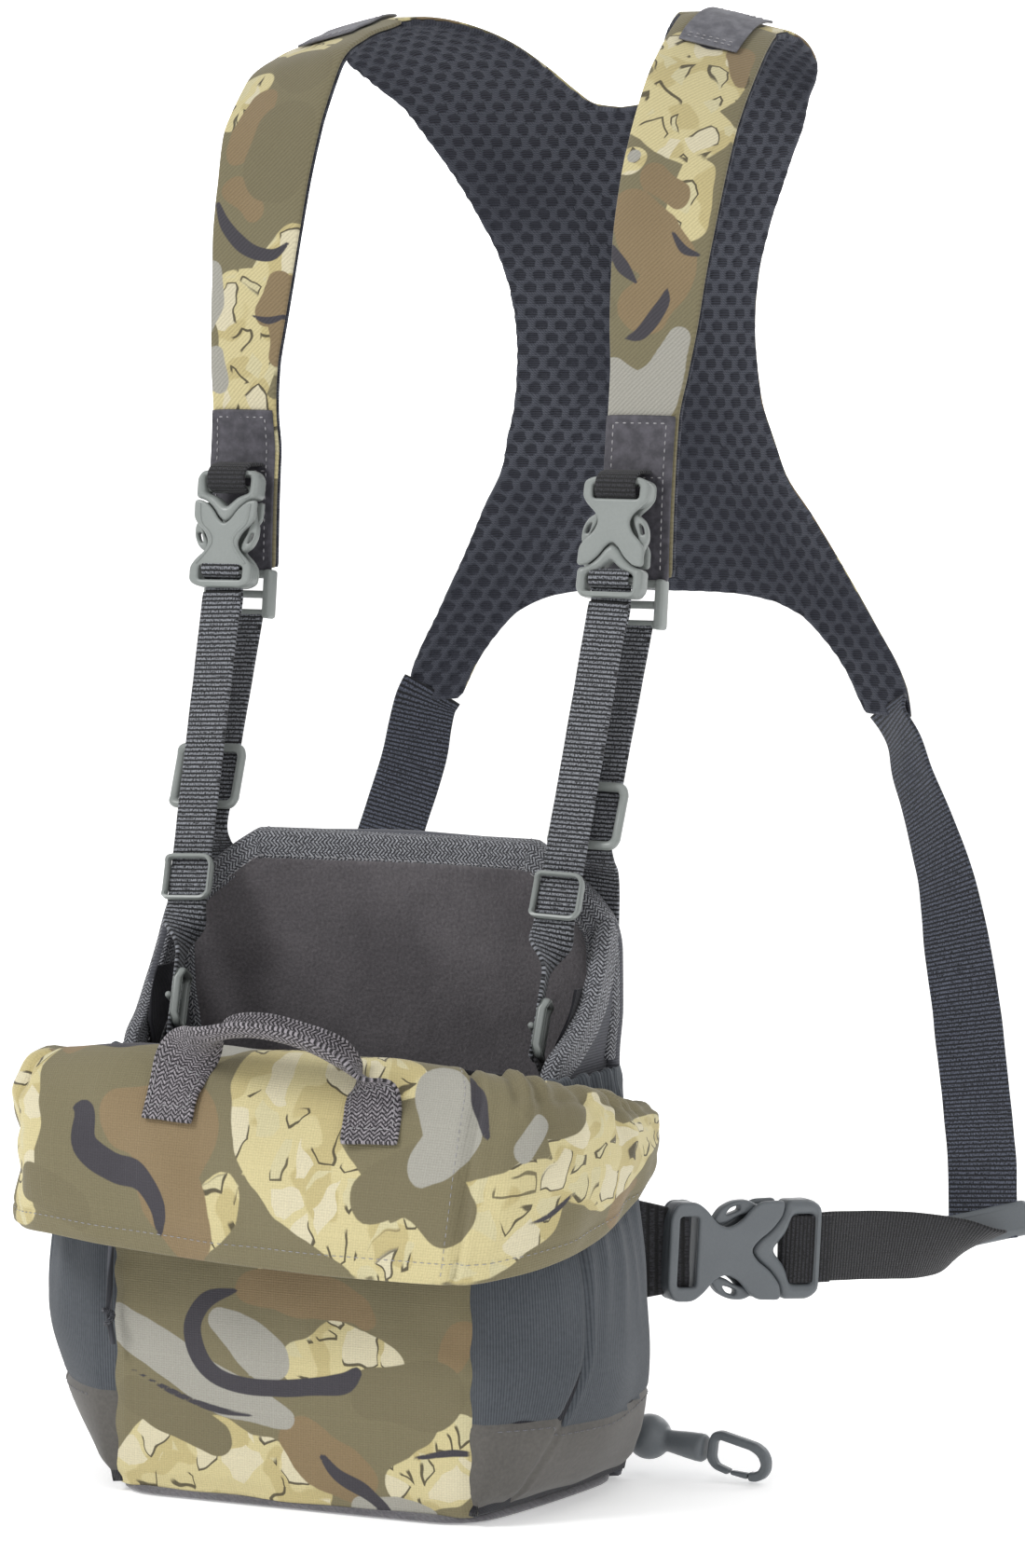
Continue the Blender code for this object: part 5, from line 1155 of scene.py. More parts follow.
def yoke_piece(name, lat, t0, t1, mat, relief=None, side=1, attrs=None, puff=0.0):
    """Sheet on the yoke between depths t0 and t1; relief moves the t0 face in."""
    X, S, A0, A1, nl, nm = lat
    R, Cn = X.shape
    P0 = on_harness(X, S, 0.0)
    # distance-like fade to the edges, in columns only
    ci = np.arange(Cn)
    fade = np.minimum(ci, Cn - 1 - ci)[None] * np.ones((R, 1))
    base0 = on_harness(X, S, t0)
    base1 = on_harness(X, S, t1)
    nrm = unit(base1 - base0) if abs(t1 - t0) > 1e-6 else unit(on_harness(X, S, 1.0) - P0)
    if relief is not None:
        base0 = base0 + nrm * relief[..., None]
    quad = []
    for r in range(R - 1):
        for c in range(Cn - 1):
            if A0 <= c < A1 and (r < nl or r >= nl + nm):
                continue
            quad.append((r, c))
    qa = A3(quad)
    idn = np.arange(R * Cn).reshape(R, Cn)
    q = np.stack([idn[qa[:, 0], qa[:, 1]], idn[qa[:, 0] + 1, qa[:, 1]], idn[qa[:, 0] + 1, qa[:, 1] + 1], idn[qa[:, 0], qa[:, 1] + 1]], 1)
    eset = {}
    for a, b in np.vstack([q[:, [0, 1]], q[:, [1, 2]], q[:, [2, 3]], q[:, [3, 0]]]).tolist():
        eset[(a, b)] = 1
    bnd = [(a, b) for a, b in eset if (b, a) not in eset]
    K = R * Cn
    co = np.vstack([base0.reshape(-1, 3), base1.reshape(-1, 3)])
    # outward direction at each boundary vertex, for a rounded rim
    bv = sorted({v for e in bnd for v in e})
    outd = np.zeros((K, 3))
    flat = P0.reshape(-1, 3)
    nf = nrm.reshape(-1, 3)
    for a, b in bnd:
        e = flat[b] - flat[a]
        o = np.cross(e, nf[a])
        outd[a] += o
        outd[b] += o
    # the faces' turn decides the sign
    a, b = bnd[0]
    f0 = next(f for f in q.tolist() if a in f and b in f)
    cen = flat[f0].mean(0)
    if np.dot(outd[a], flat[a] - cen) < 0:
        outd = -outd
    outd = unit(outd)
    half = abs(t1 - t0) / 2 + puff
    pos = {v: i for i, v in enumerate(bv)}
    B = len(bv)
    bva = A3(bv)
    mid = (co[bva] + co[bva + K]) / 2
    loops = []
    for an in (PI / 3.2, 0, -PI / 3.2):
        loops.append(mid + nf[bva] * half * math.sin(-an) + outd[bva] * half * math.cos(an))
    co = np.vstack([co] + loops)
    ids = [lambda v: v, lambda v: 2 * K + pos[v], lambda v: 2 * K + B + pos[v], lambda v: 2 * K + 2 * B + pos[v], lambda v: v + K]
    rim = []
    for a, b in bnd:
        for x, y in zip(ids, ids[1:]):
            rim.append((x(b), x(a), y(a), y(b)))
    quads = np.vstack([q, q[:, ::-1] + K, A3(rim)])
    uv = np.stack([X.ravel(), S.ravel()], 1)
    UV = np.vstack([uv, uv, uv[bva], uv[bva], uv[bva]])
    at = {}
    for key, val in (attrs or {}).items():
        v = np.broadcast_to(val, (R, Cn)).ravel()
        at[key] = np.concatenate([v, v, v[bva], v[bva], v[bva]])
    used = np.unique(quads)
    remap = np.full(len(co), -1)
    remap[used] = np.arange(len(used))
    return mesh_from(name, co[used], remap[quads], UV[used], [mat], None, {k: v[used] for k, v in at.items()})


lat = yoke_lattice(34, 124, 40, 44, 70)
X, S = lat[0], lat[1]
rel = hexrelief(X, S)
ym = yoke_piece("yoke_spacer", lat, 0.0, 2.2, M["mesh"], (1 - rel) * 1.5 - .25 + .5 * wob(X, S, 55, 51), attrs={"cell": rel})
put(ym, "pack", "spacer_mesh", "yoke_mesh")
lat = yoke_lattice(16, 60, 18, 20, 34)
X, S = lat[0], lat[1]
yc = yoke_piece("yoke_camo", lat, 2.5, 3.6, M["camo_strap"], None, attrs=camo_fields(X, S, random_plan(9, -105, 105, 20, 320)))
put(yc, "pack", "camo_fabric", "yoke_cover")

PLAN_STRAP = {
    "L": {"tan": [[(-80, 452, 14), (-76, 470, 12), (-84, 488, 14), (-70, 500, 14)], [(-64, 432, 8), (-70, 440, 8)], [(-75, 352, 8), (-88, 344, 7)], [(-93, 370, 6), (-96, 384, 7)]],
          "brown": [[(-66, 446, 5), (-70, 455, 6)], [(-80, 418, 5), (-88, 410, 5)], [(-90, 396, 7), (-86, 378, 6)], [(-64, 470, 4), (-66, 458, 4)]],
          "grey": [[(-94, 440, 4), (-93, 452, 5), (-95, 464, 3)], [(-90, 470, 3), (-88, 480, 3)]],
          "olive": [[(-74, 402, 14), (-72, 390, 12)], [(-70, 368, 10), (-80, 360, 8)]],
          "dark": [[(-64, 430, .5), (-70, 434, 2.0), (-80, 432, 2.6), (-90, 424, 2.2), (-95, 416, .6)], [(-62, 456, .5), (-69, 458, 1.4), (-76, 456, .5)]]},
    "R": {"tan": [[(70, 350, 14), (84, 358, 14), (72, 374, 16), (86, 386, 13)], [(90, 402, 7), (88, 420, 8)], [(64, 398, 5)]],
          "brown": [[(68, 416, 9), (76, 428, 12), (84, 438, 11), (76, 450, 11)], [(90, 344, 6), (94, 358, 4)], [(74, 404, 7), (84, 410, 5)]],
          "grey": [[(66, 476, 7), (76, 486, 12), (84, 478, 9), (90, 462, 4)], [(64, 396, 2)]],
          "olive": [[(60, 446, 3), (62, 452, 4)]],
          "dark": [[(60, 428, .8), (66, 436, 2.6), (72, 442, 1.0)], [(70, 462, .6), (76, 460, 2.6), (83, 450, 2.6), (84, 444, .6)], [(84, 424, .6), (89, 430, 1.4), (95, 432, .6)], [(66, 338, .6), (76, 342, 2), (86, 338, .6)]]},
}


def strap_xy(side, s, c, inset=0.0):
    xi, xo = T(STRAP_EDGE, s, 1) + inset, T(STRAP_EDGE, s, 2) - inset
    if side < 0:
        xo = xo - T(LEFT_IN, s)
    return side * (xi + (xo - xi) * c)


TABP = {}
for side, tag in ((1, "R"), (-1, "L")):
    S, C = mgrid(np.linspace(322.0, 545.0, 230), np.linspace(0, 1, 34))
    X = strap_xy(side, S, C)
    sgn = 1 if side > 0 else -1
    under = on_harness(X, S, 0.0)
    rel = hexrelief(X, S)
    puff = .5 * (1 - np.abs(2 * C - 1) ** 4)
    # two layers: camo outer foam and spacer mesh beneath, one piece
    G = on_harness(X, S, 1.6)
    sb = slab("strap_camo_" + tag, G, 0, sgn * 1.7, M["camo_strap"], np.stack([X, S], -1), sgn * (puff + .12 * wob(X, S, 26, 60)), M["dark"], camo_fields(X, S, PLAN_STRAP[tag]))
    put(sb, "pack", "camo_fabric", "strap_" + tag)
    S2, C2 = mgrid(np.linspace(322.0, 545.0, 210), np.linspace(0, 1, 36))
    X2 = strap_xy(side, S2, C2, -.5)
    rel = hexrelief(X2, S2)
    G = on_harness(X2, S2, 1.3)
    sm = slab("strap_spacer_" + tag, G, 0, -sgn * 1.3, M["mesh"], np.stack([X2, S2], -1), sgn * (1 - rel) * .9 * step01(np.minimum(C2, 1 - C2) * 34 / 3.5), None, {"cell": rel})
    put(sm, "pack", "spacer_mesh")
    # leather tab with a stitched border
    S3, C3 = mgrid(np.linspace(490.0, 546.6, 60), np.linspace(0, 1, 26))
    X3 = strap_xy(side, S3, C3, .2)
    G = on_harness(X3, S3, 3.3 + .45)
    tb = slab("leather_tab_" + tag, G, 0, sgn * 1.2, M["leather"], np.stack([X3, S3], -1), sgn * (.18 * wob(X3, S3, 20, 61) + .35 * (1 - np.abs(2 * C3 - 1) ** 4)))
    put(tb, "pack", "leather", "leather_tab_" + tag)
    TABP[tag] = G
    nrm = unit(on_harness(X3, S3, 1.0) - on_harness(X3, S3, 0.0))
    E = G + nrm * 1.45

    def tab_line(r0, c0, r1, c1, n=40):
        rr, c_ = np.linspace(r0, r1, n), np.linspace(c0, c1, n)
        i0, j0 = np.clip(rr.astype(int), 0, 58), np.clip(c_.astype(int), 0, 24)
        fi, fj = (rr - i0)[:, None], (c_ - j0)[:, None]
        p = E[i0, j0] * (1 - fi) * (1 - fj) + E[i0 + 1, j0] * fi * (1 - fj) + E[i0, j0 + 1] * (1 - fi) * fj + E[i0 + 1, j0 + 1] * fi * fj
        return p, nrm[i0, j0]
    lines = [tab_line(2.2, 2.4, 2.2, 22.6), tab_line(2.2, 2.4, 22, 2.4), tab_line(2.2, 22.6, 56, 22.6), tab_line(22, 2.4, 22, 22.6), tab_line(22, 2.4, 56, 2.4)]
    ts_ = stitches("tab_stitch_" + tag, lines, M["thread"], 1.6, 1.1, .26, .05)
    put(ts_, "pack", "leather")
    # shoulder patch
    S4, C4 = mgrid(np.linspace(311, 343, 34), np.linspace(0, 1, 24))
    X4 = side * (65.5 + 22 * C4)
    G = on_harness(X4, S4, 4.6)
    sp = slab("shoulder_patch_" + tag, G, 0, sgn * 1.0, M["patch"], np.stack([X4, S4], -1), sgn * .2 * wob(X4, S4, 14, 62))
    put(sp, "pack", "leather", "shoulder_patch_" + tag)
    nr = unit(on_harness(X4, S4, 1.0) - on_harness(X4, S4, 0.0))
    E4 = G + nr * 1.1
    lines = [(E4[r, 2:22], nr[r, 2:22]) for r in (2, 4, 29, 31)]
    ps = stitches("patch_stitch_" + tag, lines, M["thread"], 1.5, .9, .22, .05)
    put(ps, "pack", "leather")


# ============================================================= hardware ====
def V(*a):
    return Vector(a)


def axes(d_, w_):
    v = d_.normalized()
    u_ = (w_ - v * w_.dot(v)).normalized()
    return u_, v, u_.cross(v)


def rounded(loop, r=1.0, n=5):
    """Outline with each corner turned into a small arc."""
    out_, k = [], len(loop)
    for i in range(k):
        p0, p1, p2 = Vector(loop[i - 1]), Vector(loop[i]), Vector(loop[(i + 1) % k])
        a, b = (p0 - p1), (p2 - p1)
        rr = min(r, a.length * .45, b.length * .45)
        s_, e_ = p1 + a.normalized() * rr, p1 + b.normalized() * rr
        for j in range(n + 1):
            f_ = j / n
            q_ = s_ * (1 - f_) ** 2 + p1 * 2 * f_ * (1 - f_) + e_ * f_ ** 2
            out_.append((q_.x, q_.y))
    return out_


def bplate(name, loops, lo, hi, fr, mat, bev=.8, crown=0.0):
    """Moulded plate: rounded outline with holes, its edges rolled over."""
    cu = bpy.data.curves.new(name, "CURVE")
    cu.dimensions = "2D"
    cu.fill_mode = "BOTH"
    h = (hi - lo) / 2
    bev = min(bev, h * .95)
    cu.extrude = max(0.0, h - bev)
    cu.bevel_depth = bev
    cu.bevel_resolution = 3
    cu.offset = -bev
    for lp in loops:
        sp = cu.splines.new("POLY")
        sp.points.add(len(lp) - 1)
        for p, q_ in zip(sp.points, lp):
            p.co = (q_[0], q_[1], 0, 1)
        sp.use_cyclic_u = True
    ob = bpy.data.objects.new(name, cu)
    bpy.context.scene.collection.objects.link(ob)
    bpy.context.view_layer.update()
    me = bpy.data.meshes.new_from_object(ob.evaluated_get(bpy.context.evaluated_depsgraph_get()))
    bpy.data.objects.remove(ob)
    o, u_, v_, n_ = fr
    mt = Matrix(((u_.x, v_.x, n_.x, o.x), (u_.y, v_.y, n_.y, o.y), (u_.z, v_.z, n_.z, o.z), (0, 0, 0, 1)))
    me.transform(Matrix.Scale(MM, 4) @ mt @ Matrix.Translation((0, 0, (lo + hi) / 2)))
    me.name = name
    me.materials.clear()
    me.materials.append(mat)
    me.shade_smooth()
    me.set_sharp_from_angle(angle=math.radians(38))
    ob = bpy.data.objects.new(name, me)
    bpy.context.scene.collection.objects.link(ob)
    return ob


def bar(name, a, b, r, fr, mat, flat=1.0):
    """Rounded bar between two points of a frame (u, v, n)."""
    o, u_, v_, n_ = fr
    P0 = o + u_ * a[0] + v_ * a[1] + n_ * a[2]
    P1 = o + u_ * b[0] + v_ * b[1] + n_ * b[2]
    pts = [np.array(P0.lerp(P1, f_)) for f_ in np.linspace(0, 1, 6)]
    return tube(name, pts, r, mat, 12)


def slider(name, c, d_, w_, webw, width, height, mat, rail=2.6, half=2.5, r=2.6):
    """Rounded frame with a raised middle bar behind the webbing."""
    u_, v_, n_ = axes(d_, w_)
    fr = (c, u_, v_, n_)
    a, b, h = webw / 2 + .6, width / 2, height / 2
    rr = max(1.8, b - a)
    outer = rounded([(-b, -h), (b, -h), (b, h), (-b, h)], min(4.2, h * .5), 7)
    if height < 15:                       # a stout plate with no slots
        ring = bplate(name, [outer], -2.9, 2.9, fr, mat, 2.4)
    else:
        inner = rounded([(-a, -h + rr), (-a, h - rr), (a, h - rr), (a, -h + rr)], 1.6, 5)
        ring = bplate(name, [outer, inner], -1.55, 1.55, fr, mat, 1.3)
    mid = bar(name + "_bar", (-a - .1, 0, -1.4), (a + .1, 0, -1.4), 1.15, fr, mat)
    # the frame's ends stand forward of the webbing
    me = ring.data
    o = np.array(c)
    vv = np.zeros(len(me.vertices) * 3)
    me.vertices.foreach_get("co", vv)
    vv = vv.reshape(-1, 3) / MM
    lv = (vv - o) @ np.array(v_)
    lu = (vv - o) @ np.array(u_)
    if height < 15:
        vv = vv - np.array(n_) * (1.6 * (lu / b) ** 2)[:, None]
    else:
        vv = vv + np.array(n_) * (step01((np.abs(lv) - h * .3) / (h * .6)) * (WEB / 2 + .4 + 1.3))[:, None]
    me.vertices.foreach_set("co", (vv * MM).ravel())
    return join(name, [ring, mid])


WEB = 1.4


def buckle(prefix, tag, c, d_, w_, W, L, Tt, mat):
    """Side-release buckle: X-shaped socket, pronged insert, two latch arms."""
    u_, v_, n_ = axes(d_, w_)
    fr = (c, u_, v_, n_)
    hl, hw, ht = L / 2, W / 2, Tt / 2
    wall = Tt * .24
    f0, f1 = -hl, hl * .50
    right = [(hw * .70, f0 + .2), (hw * .98, f0 + L * .045), (hw * .99, f0 + L * .17), (hw * .84, f0 + L * .235), (hw * .55, f0 + L * .31), (hw * .46, f0 + L * .38),
             (hw * .58, f0 + L * .46), (hw * .84, f0 + L * .53), (hw * .98, f0 + L * .59), (hw * 1.0, f1 - .3)]
    mouth = [(hw * .70, f1 - L * .015), (hw * .40, f1 - L * .085), (hw * .20, f1 - L * .17), (0, f1 - L * .215), (-hw * .20, f1 - L * .17),
             (-hw * .40, f1 - L * .085), (-hw * .70, f1 - L * .015)]
    leftp = [(-x_, y_) for x_, y_ in right[::-1]]
    outline = rounded(right + mouth + leftp, L * .05, 5)
    bev = wall * .62
    top_ = bplate(prefix + "_t", [outline, rounded([(-hw * .70, f0 + L * .065), (-hw * .70, f0 + L * .185), (hw * .70, f0 + L * .185), (hw * .70, f0 + L * .065)], 1.4)], ht - wall, ht, fr, mat, bev)
    bot_ = bplate(prefix + "_b", [outline, rounded([(-hw * .70, f0 + L * .065), (-hw * .70, f0 + L * .185), (hw * .70, f0 + L * .185), (hw * .70, f0 + L * .065)], 1.4)], -ht, -ht + wall, fr, mat, bev)
    ringp = rounded([(-hw * .70, f0 + .2), (hw * .70, f0 + .2), (hw * .99, f0 + L * .05), (hw * .97, f0 + L * .19), (hw * .70, f0 + L * .255), (-hw * .70, f0 + L * .255), (-hw * .97, f0 + L * .19), (-hw * .99, f0 + L * .05)], L * .05, 6)
    slot_ = rounded([(-hw * .72, f0 + L * .06), (-hw * .72, f0 + L * .19), (hw * .72, f0 + L * .19), (hw * .72, f0 + L * .06)], 1.4)
    ring_ = bplate(prefix + "_r", [ringp, slot_], -ht * .96, ht * .96, fr, mat, Tt * .26)
    core = bplate(prefix + "_c", [rounded([(-hw * .46, f0 + L * .22), (hw * .46, f0 + L * .22), (hw * .40, f0 + L * .268), (hw * .22, f0 + L * .285), (hw * .20, f0 + L * .34),
                                           (-hw * .20, f0 + L * .34), (-hw * .22, f0 + L * .285), (-hw * .40, f0 + L * .268)], .8)], -ht + wall * .5, ht - wall * .5, fr, mat, .6)
    # raised ridges that follow the waist of the socket
    rid = []
    for sx in (1, -1):
        pr = [(sx * hw * .78, f0 + L * .20), (sx * hw * .44, f0 + L * .32), (sx * hw * .34, f0 + L * .39), (sx * hw * .44, f0 + L * .46), (sx * hw * .72, f0 + L * .55), (sx * hw * .80, f1 - L * .05)]
        pp = cat(pr, 8)
        pts = [np.array(c + u_ * float(x_) + v_ * float(y_) + n_ * (ht - .15)) for x_, y_ in pp]
        rid.append(tube(prefix + "_ridge", pts, Tt * .07, mat, 8))
    fem = join(prefix + "_female_" + tag, [top_, bot_, ring_, core] + rid)
    m0 = f1 + .35
    inner = -hl + L * .36
    male = [(hw * .99, m0), (hw * 1.0, hl - L * .07), (hw * .84, hl - .2), (-hw * .84, hl - .2), (-hw * 1.0, hl - L * .07), (-hw * .99, m0), (-hw * .70, m0 - L * .015),
            (-hw * .40, m0 - L * .085), (-hw * .20, m0 - L * .165), (0, m0 - L * .205), (hw * .20, m0 - L * .165), (hw * .40, m0 - L * .085), (hw * .70, m0 - L * .015)]
    s0 = m0 - L * .02
    win = rounded([(-hw * .70, hl - L * .055), (hw * .70, hl - L * .055), (hw * .70, s0 + L * .07), (hw * .34, s0 + L * .03), (0, s0 - L * .055), (-hw * .34, s0 + L * .03), (-hw * .70, s0 + L * .07)], L * .03, 5)
    mp = bplate(prefix + "_mp", [rounded(male, L * .05, 6), win], -ht * .96, ht * .96, fr, mat, Tt * .24)
    mbar = bar(prefix + "_mb", (-hw * .8, s0 + L * .105, 0), (hw * .8, s0 + L * .105, 0), Tt * .17, fr, mat)
    tongue = bplate(prefix + "_tg", [rounded([(-hw * .13, inner), (hw * .13, inner), (hw * .15, m0 - L * .12), (-hw * .15, m0 - L * .12)], 1.2)], -ht + wall + .4, ht - wall - .4, fr, mat, .5)
    ml = join(prefix + "_male_" + tag, [mp, mbar, tongue])
    th_ = ht - wall - .3
    arms_ = []
    for k, nm in ((1, "latch_a"), (-1, "latch_b")):
        arm = [(hw * .80, m0 - L * .03), (hw * .90, f0 + L * .58), (hw * 1.0, f0 + L * .52), (hw * .985, f0 + L * .43),
               (hw * .84, f0 + L * .345), (hw * .60, f0 + L * .30), (hw * .50, f0 + L * .33), (hw * .56, f0 + L * .40),
               (hw * .68, f0 + L * .455), (hw * .74, f0 + L * .54), (hw * .64, m0 - L * .04)]
        hole = [(hw * .70, f0 + L * .375), (hw * .84, f0 + L * .405), (hw * .90, f0 + L * .465), (hw * .80, f0 + L * .47), (hw * .74, f0 + L * .425)]
        if k < 0:
            arm = [(-x_, y_) for x_, y_ in arm[::-1]]
            hole = [(-x_, y_) for x_, y_ in hole[::-1]]
        arms_.append((bplate(prefix + "_" + nm + "_" + tag, [rounded(arm, L * .04, 5), rounded(hole, L * .02, 4)], -th_, th_, fr, mat, th_ * .5), nm))
    return fem, ml, arms_, fr


def strap(name, pts, wid, width, mat, body, slot, node=None, th_=1.4, step=1.6, cols=9, relief=.12, uv0=0.0):
    both, s_ = even(np.hstack([cat(pts, 16), cat(wid, 16)]), step)
    p, w_ = both[:, :3], both[:, 3:]
    t_ = unit(np.gradient(p, axis=0))
    w_ = unit(w_ - t_ * np.sum(w_ * t_, 1)[:, None])
    c_ = np.linspace(-.5, .5, cols) * (width - .8)
    G = p[:, None] + w_[:, None] * c_[None, :, None]
    U, W = np.broadcast_to(c_[None], G.shape[:2]), np.broadcast_to(s_[:, None], G.shape[:2])
    ob = slab(name, G, -th_ / 2, th_ / 2, mat, np.stack([U, W + uv0], -1), relief * wob(U, W, 22, int(s_[-1])))
    put(ob, body, slot, *([node] if node else []))
    return ob


def loop_over(c, v_, n_, w_, front, back, r, name, width, mat, slot, side=1):
    """Short webbing loop: up the front by front mm, over a bar, down the back."""
    pts = [c - v_ * (front * f_) + n_ * r for f_ in (1.0, .66, .33)]
    pts += [c + v_ * (r * math.sin(a)) + n_ * (r * math.cos(a)) for a in np.linspace(0, PI, 7)]
    pts += [c - v_ * (back * f_) - n_ * r for f_ in (.33, .66, 1.0)]
    return strap(name, [list(p) for p in pts], [list(w_)] * len(pts), width, mat, "pack", slot, th_=1.2, step=.8, cols=7, relief=.04)


X1 = V(1, 0, 0)
for side, tag in ((1, "R"), (-1, "L")):
    def sx(x_, y_, z_):
        return V(side * x_, y_, z_)

    def on_line(z_):
        return sx(77.2 - .0205 * (299.6 - z_), 54.4 - .423 * (299.6 - z_), z_)
    route = [on_line(301.4), on_line(275), on_line(251), on_line(238), on_line(227.5),
             sx(75.85, 25.9, 221.6), sx(75.8, 30.6, 216.6), sx(75.6, 32.4, 209),
             V(side * 75.5, float(back_y(194, 75)) + 1.5, 194), V(side * 75.5, float(back_y(172, 75)) + 1.5, 172)]
    XB = V(1, -.16 * side, 0)
    strap("main_webbing_" + tag, [list(p) for p in route], [list(w_) for w_ in (X1, X1, X1, X1, X1, X1.lerp(XB, .5), XB, XB, XB, XB)], 20, M["web"], "pack", "webbing", "main_webbing_" + tag)
    sc = on_line(235.8 if side > 0 else 243.5)
    dline = on_line(299.6) - on_line(227.5)
    o = slider("main_slider_" + tag, sc, dline, X1, 20, 27.5, 24.5, M["plastic_l"])
    put(o, "main_adjuster_" + tag, "shoulder_plastic", "main_slider_" + tag)
    # points for a second layer of the main webbing, turned back through the slider; nothing is built from them
    dl_ = dline.normalized()
    nl_ = X1.cross(dl_).normalized() * 1.0
    bk = [sc - dl_ * 2 - nl_ * -2.0, sc + dl_ * 14 + nl_ * 2.2, sc + dl_ * 34 + nl_ * 2.3, on_line(300.5) + nl_ * 2.6]
    # ladder lock at the strap's end
    lc = sx(77.6, 57.2, 308.6)
    fr = (lc,) + axes(V(0, .12, 1), X1)
    ll = bplate("ladder_lock_" + tag, [rounded([(-13.4, -8.6), (13.4, -8.6), (13.4, 8.6), (-13.4, 8.6)], 3.0, 6), rounded([(-10.4, -5.6), (-10.4, -1.6), (10.4, -1.6), (10.4, -5.6)], 1),
                                       rounded([(-10.4, 1.2), (-10.4, 5.6), (10.4, 5.6), (10.4, 1.2)], 1)], -1.9, 1.9, fr, M["plastic_l"], 1.3)
    ck = [bplate("lc", [rounded([(a_, -8.9), (a_ + 3.3, -8.9), (a_ + 3.3, 8.9), (a_, 8.9)], 1.6, 6)], -3.1, 3.1, fr, M["plastic_l"], 1.1) for a_ in (-13.7, 10.4)]
    ll = join("ladder_lock_" + tag, [ll] + ck)
    put(ll, "pack", "shoulder_plastic", "ladder_lock_" + tag)
    # tether buckle
    d_ = sx(77, 51.0, 353) - sx(76.7, 42.6, 311.5)
    bc = sx(76.9, 46.8, 332.2)
    fem, ml, arms_, bfr = buckle("tether_buckle", tag, bc, d_ if side < 0 else -d_, X1, 25.5, 43, 7.6, M["plastic_l"])
    put(fem, "pack", "shoulder_plastic", "tether_buckle_female_" + tag)
    put(ml, "pack", "shoulder_plastic", "tether_buckle_male_" + tag)
    for a_, nm in arms_:
        put(a_, "tether_" + nm + "_" + tag, "shoulder_plastic", "tether_buckle_" + nm + "_" + tag)
    # webbing loops at the buckle's two ends
    vv_ = d_.normalized()
    nf = -(X1.cross(vv_)).normalized()
    if nf.y > 0:
        nf = -nf
    topc = bc + vv_ * (17.6 if side < 0 else 17.2)
    lp_pts = [topc - vv_ * 1.0 - nf * 9.5, topc - vv_ * 2.4 - nf * 6.0, topc - vv_ * 3.4 - nf * 2.6, topc - vv_ * 3.4 + nf * .8, topc - vv_ * 2.0 + nf * 3.9, topc + vv_ * 1.4 + nf * 4.9,
              topc + vv_ * 4.6 + nf * 3.2, topc + vv_ * 6.6 - nf * 1.2, topc + vv_ * 7.4 - nf * 6.0, topc + vv_ * 7.6 - nf * 9.6]
    strap("tab_loop_" + tag, [list(p) for p in lp_pts], [[1, 0, 0]] * len(lp_pts), 15, M["web_dark"], "pack", "webbing", th_=1.2, step=.8)
    # tether webbing, keeper and the lower lock
    t0, kp, t1 = sx(76.6, 41.6, 309.5), sx(72.6, 8.6, 209.5), sx(71.0, -6.5, 163.0)
    dt, dl = (t0 - kp).normalized(), (kp - t1).normalized()
    Yv = V(-.32, .95, 0)
    tr = [(t0.lerp(kp, k / 5), X1) for k in range(5)] + [(kp - dt * 8, X1), (kp - dt * 9 - dl * 4, X1.lerp(Yv, .18)),
          (kp - dt * 9 - dl * 11, X1.lerp(Yv, .62)), (kp - dt * 9 - dl * 17, X1.lerp(Yv, .94)), (kp - dt * 9 - dl * 21, Yv)]
    tr += [(tr[-1][0].lerp(t1 - dl * 8, k / 3), Yv) for k in (1, 2, 3)]
    strap("tether_webbing_" + tag, [list(p) for p, _ in tr], [list(w_) for _, w_ in tr], 15, M["web"], "pack", "webbing", "tether_webbing_" + tag)
    botc = bc - vv_ * 17.4
    rc = botc + vv_ * 3.0
    roll_ = [rc + vv_ * (3.0 * math.sin(a)) + nf * (2.9 * math.cos(a) + .6) for a in np.linspace(-1.7, PI * .95, 12)]
    strap("tether_loop_" + tag, [list(p) for p in [t0 - dt * 10 - nf * 1.5, t0 - dt * 2 - nf * 2.0] + roll_], [[1, 0, 0]] * 14, 15, M["web"], "pack", "webbing", th_=1.1, step=.7)
    o = slider("tether_keeper_" + tag, kp, dt, X1, 14.4, 19.0, 17.0, M["plastic_l"])
    put(o, "keeper_" + tag, "shoulder_plastic", "tether_keeper_" + tag)
    tl = t1 + dl * (2.0 if side > 0 else 5.0)
    o = slider("tether_lock_" + tag, tl, dl, Yv, 15, 19.0, 21.0, M["plastic_l"])
    put(o, "pack", "shoulder_plastic", "tether_lock_" + tag)
    # sewn webbing loop that holds the lower lock to the wing
    lw = [tl - dl * 7 + V(side * .5, 0, 0), tl - dl * 13 + V(side * 3.0, 2, 0), tl - dl * 20 + V(side * 5.5, 6, 0), V(side * 78.8, 6, 132)]
    strap("lock_loop_" + tag, [list(p) for p in lw], [list(Yv)] * 4, 14, M["web_dark"], "pack", "webbing", th_=1.2)

WAIST_R = [(99.3, 253.7, 254.6), (104.6, 251.4, 245.5), (110.4, 247.4, 233), (118.9, 242.5, 216), (128.6, 236, 193.7),
           (139.5, 225, 157.9), (145.7, 217, 137.1), (151.9, 208, 116.1), (158.0, 197.4, 98), (159.93, 193.46, 84),
           (161.37, 190.52, 73.5), (162.6, 188.0, 64.5)]
WAIST_W = [(.75, -.66, 0), (.78, -.62, 0), (.82, -.57, 0), (.89, -.45, 0), (.96, -.25, 0), (.96, .25, 0),
           (.93, .36, 0), (.90, .43, 0), (.90, .43, 0), (.90, .43, 0), (.90, .43, 0), (.89, .43, .05)]
RETURN_R = [(161.2, 183.6, 59.2), (157.6, 176.0, 58.8), (154.2, 168.0, 61.5), (149.5, 155, 66), (142.5, 136, 71.5), (133.6, 111.5, 76.0)]
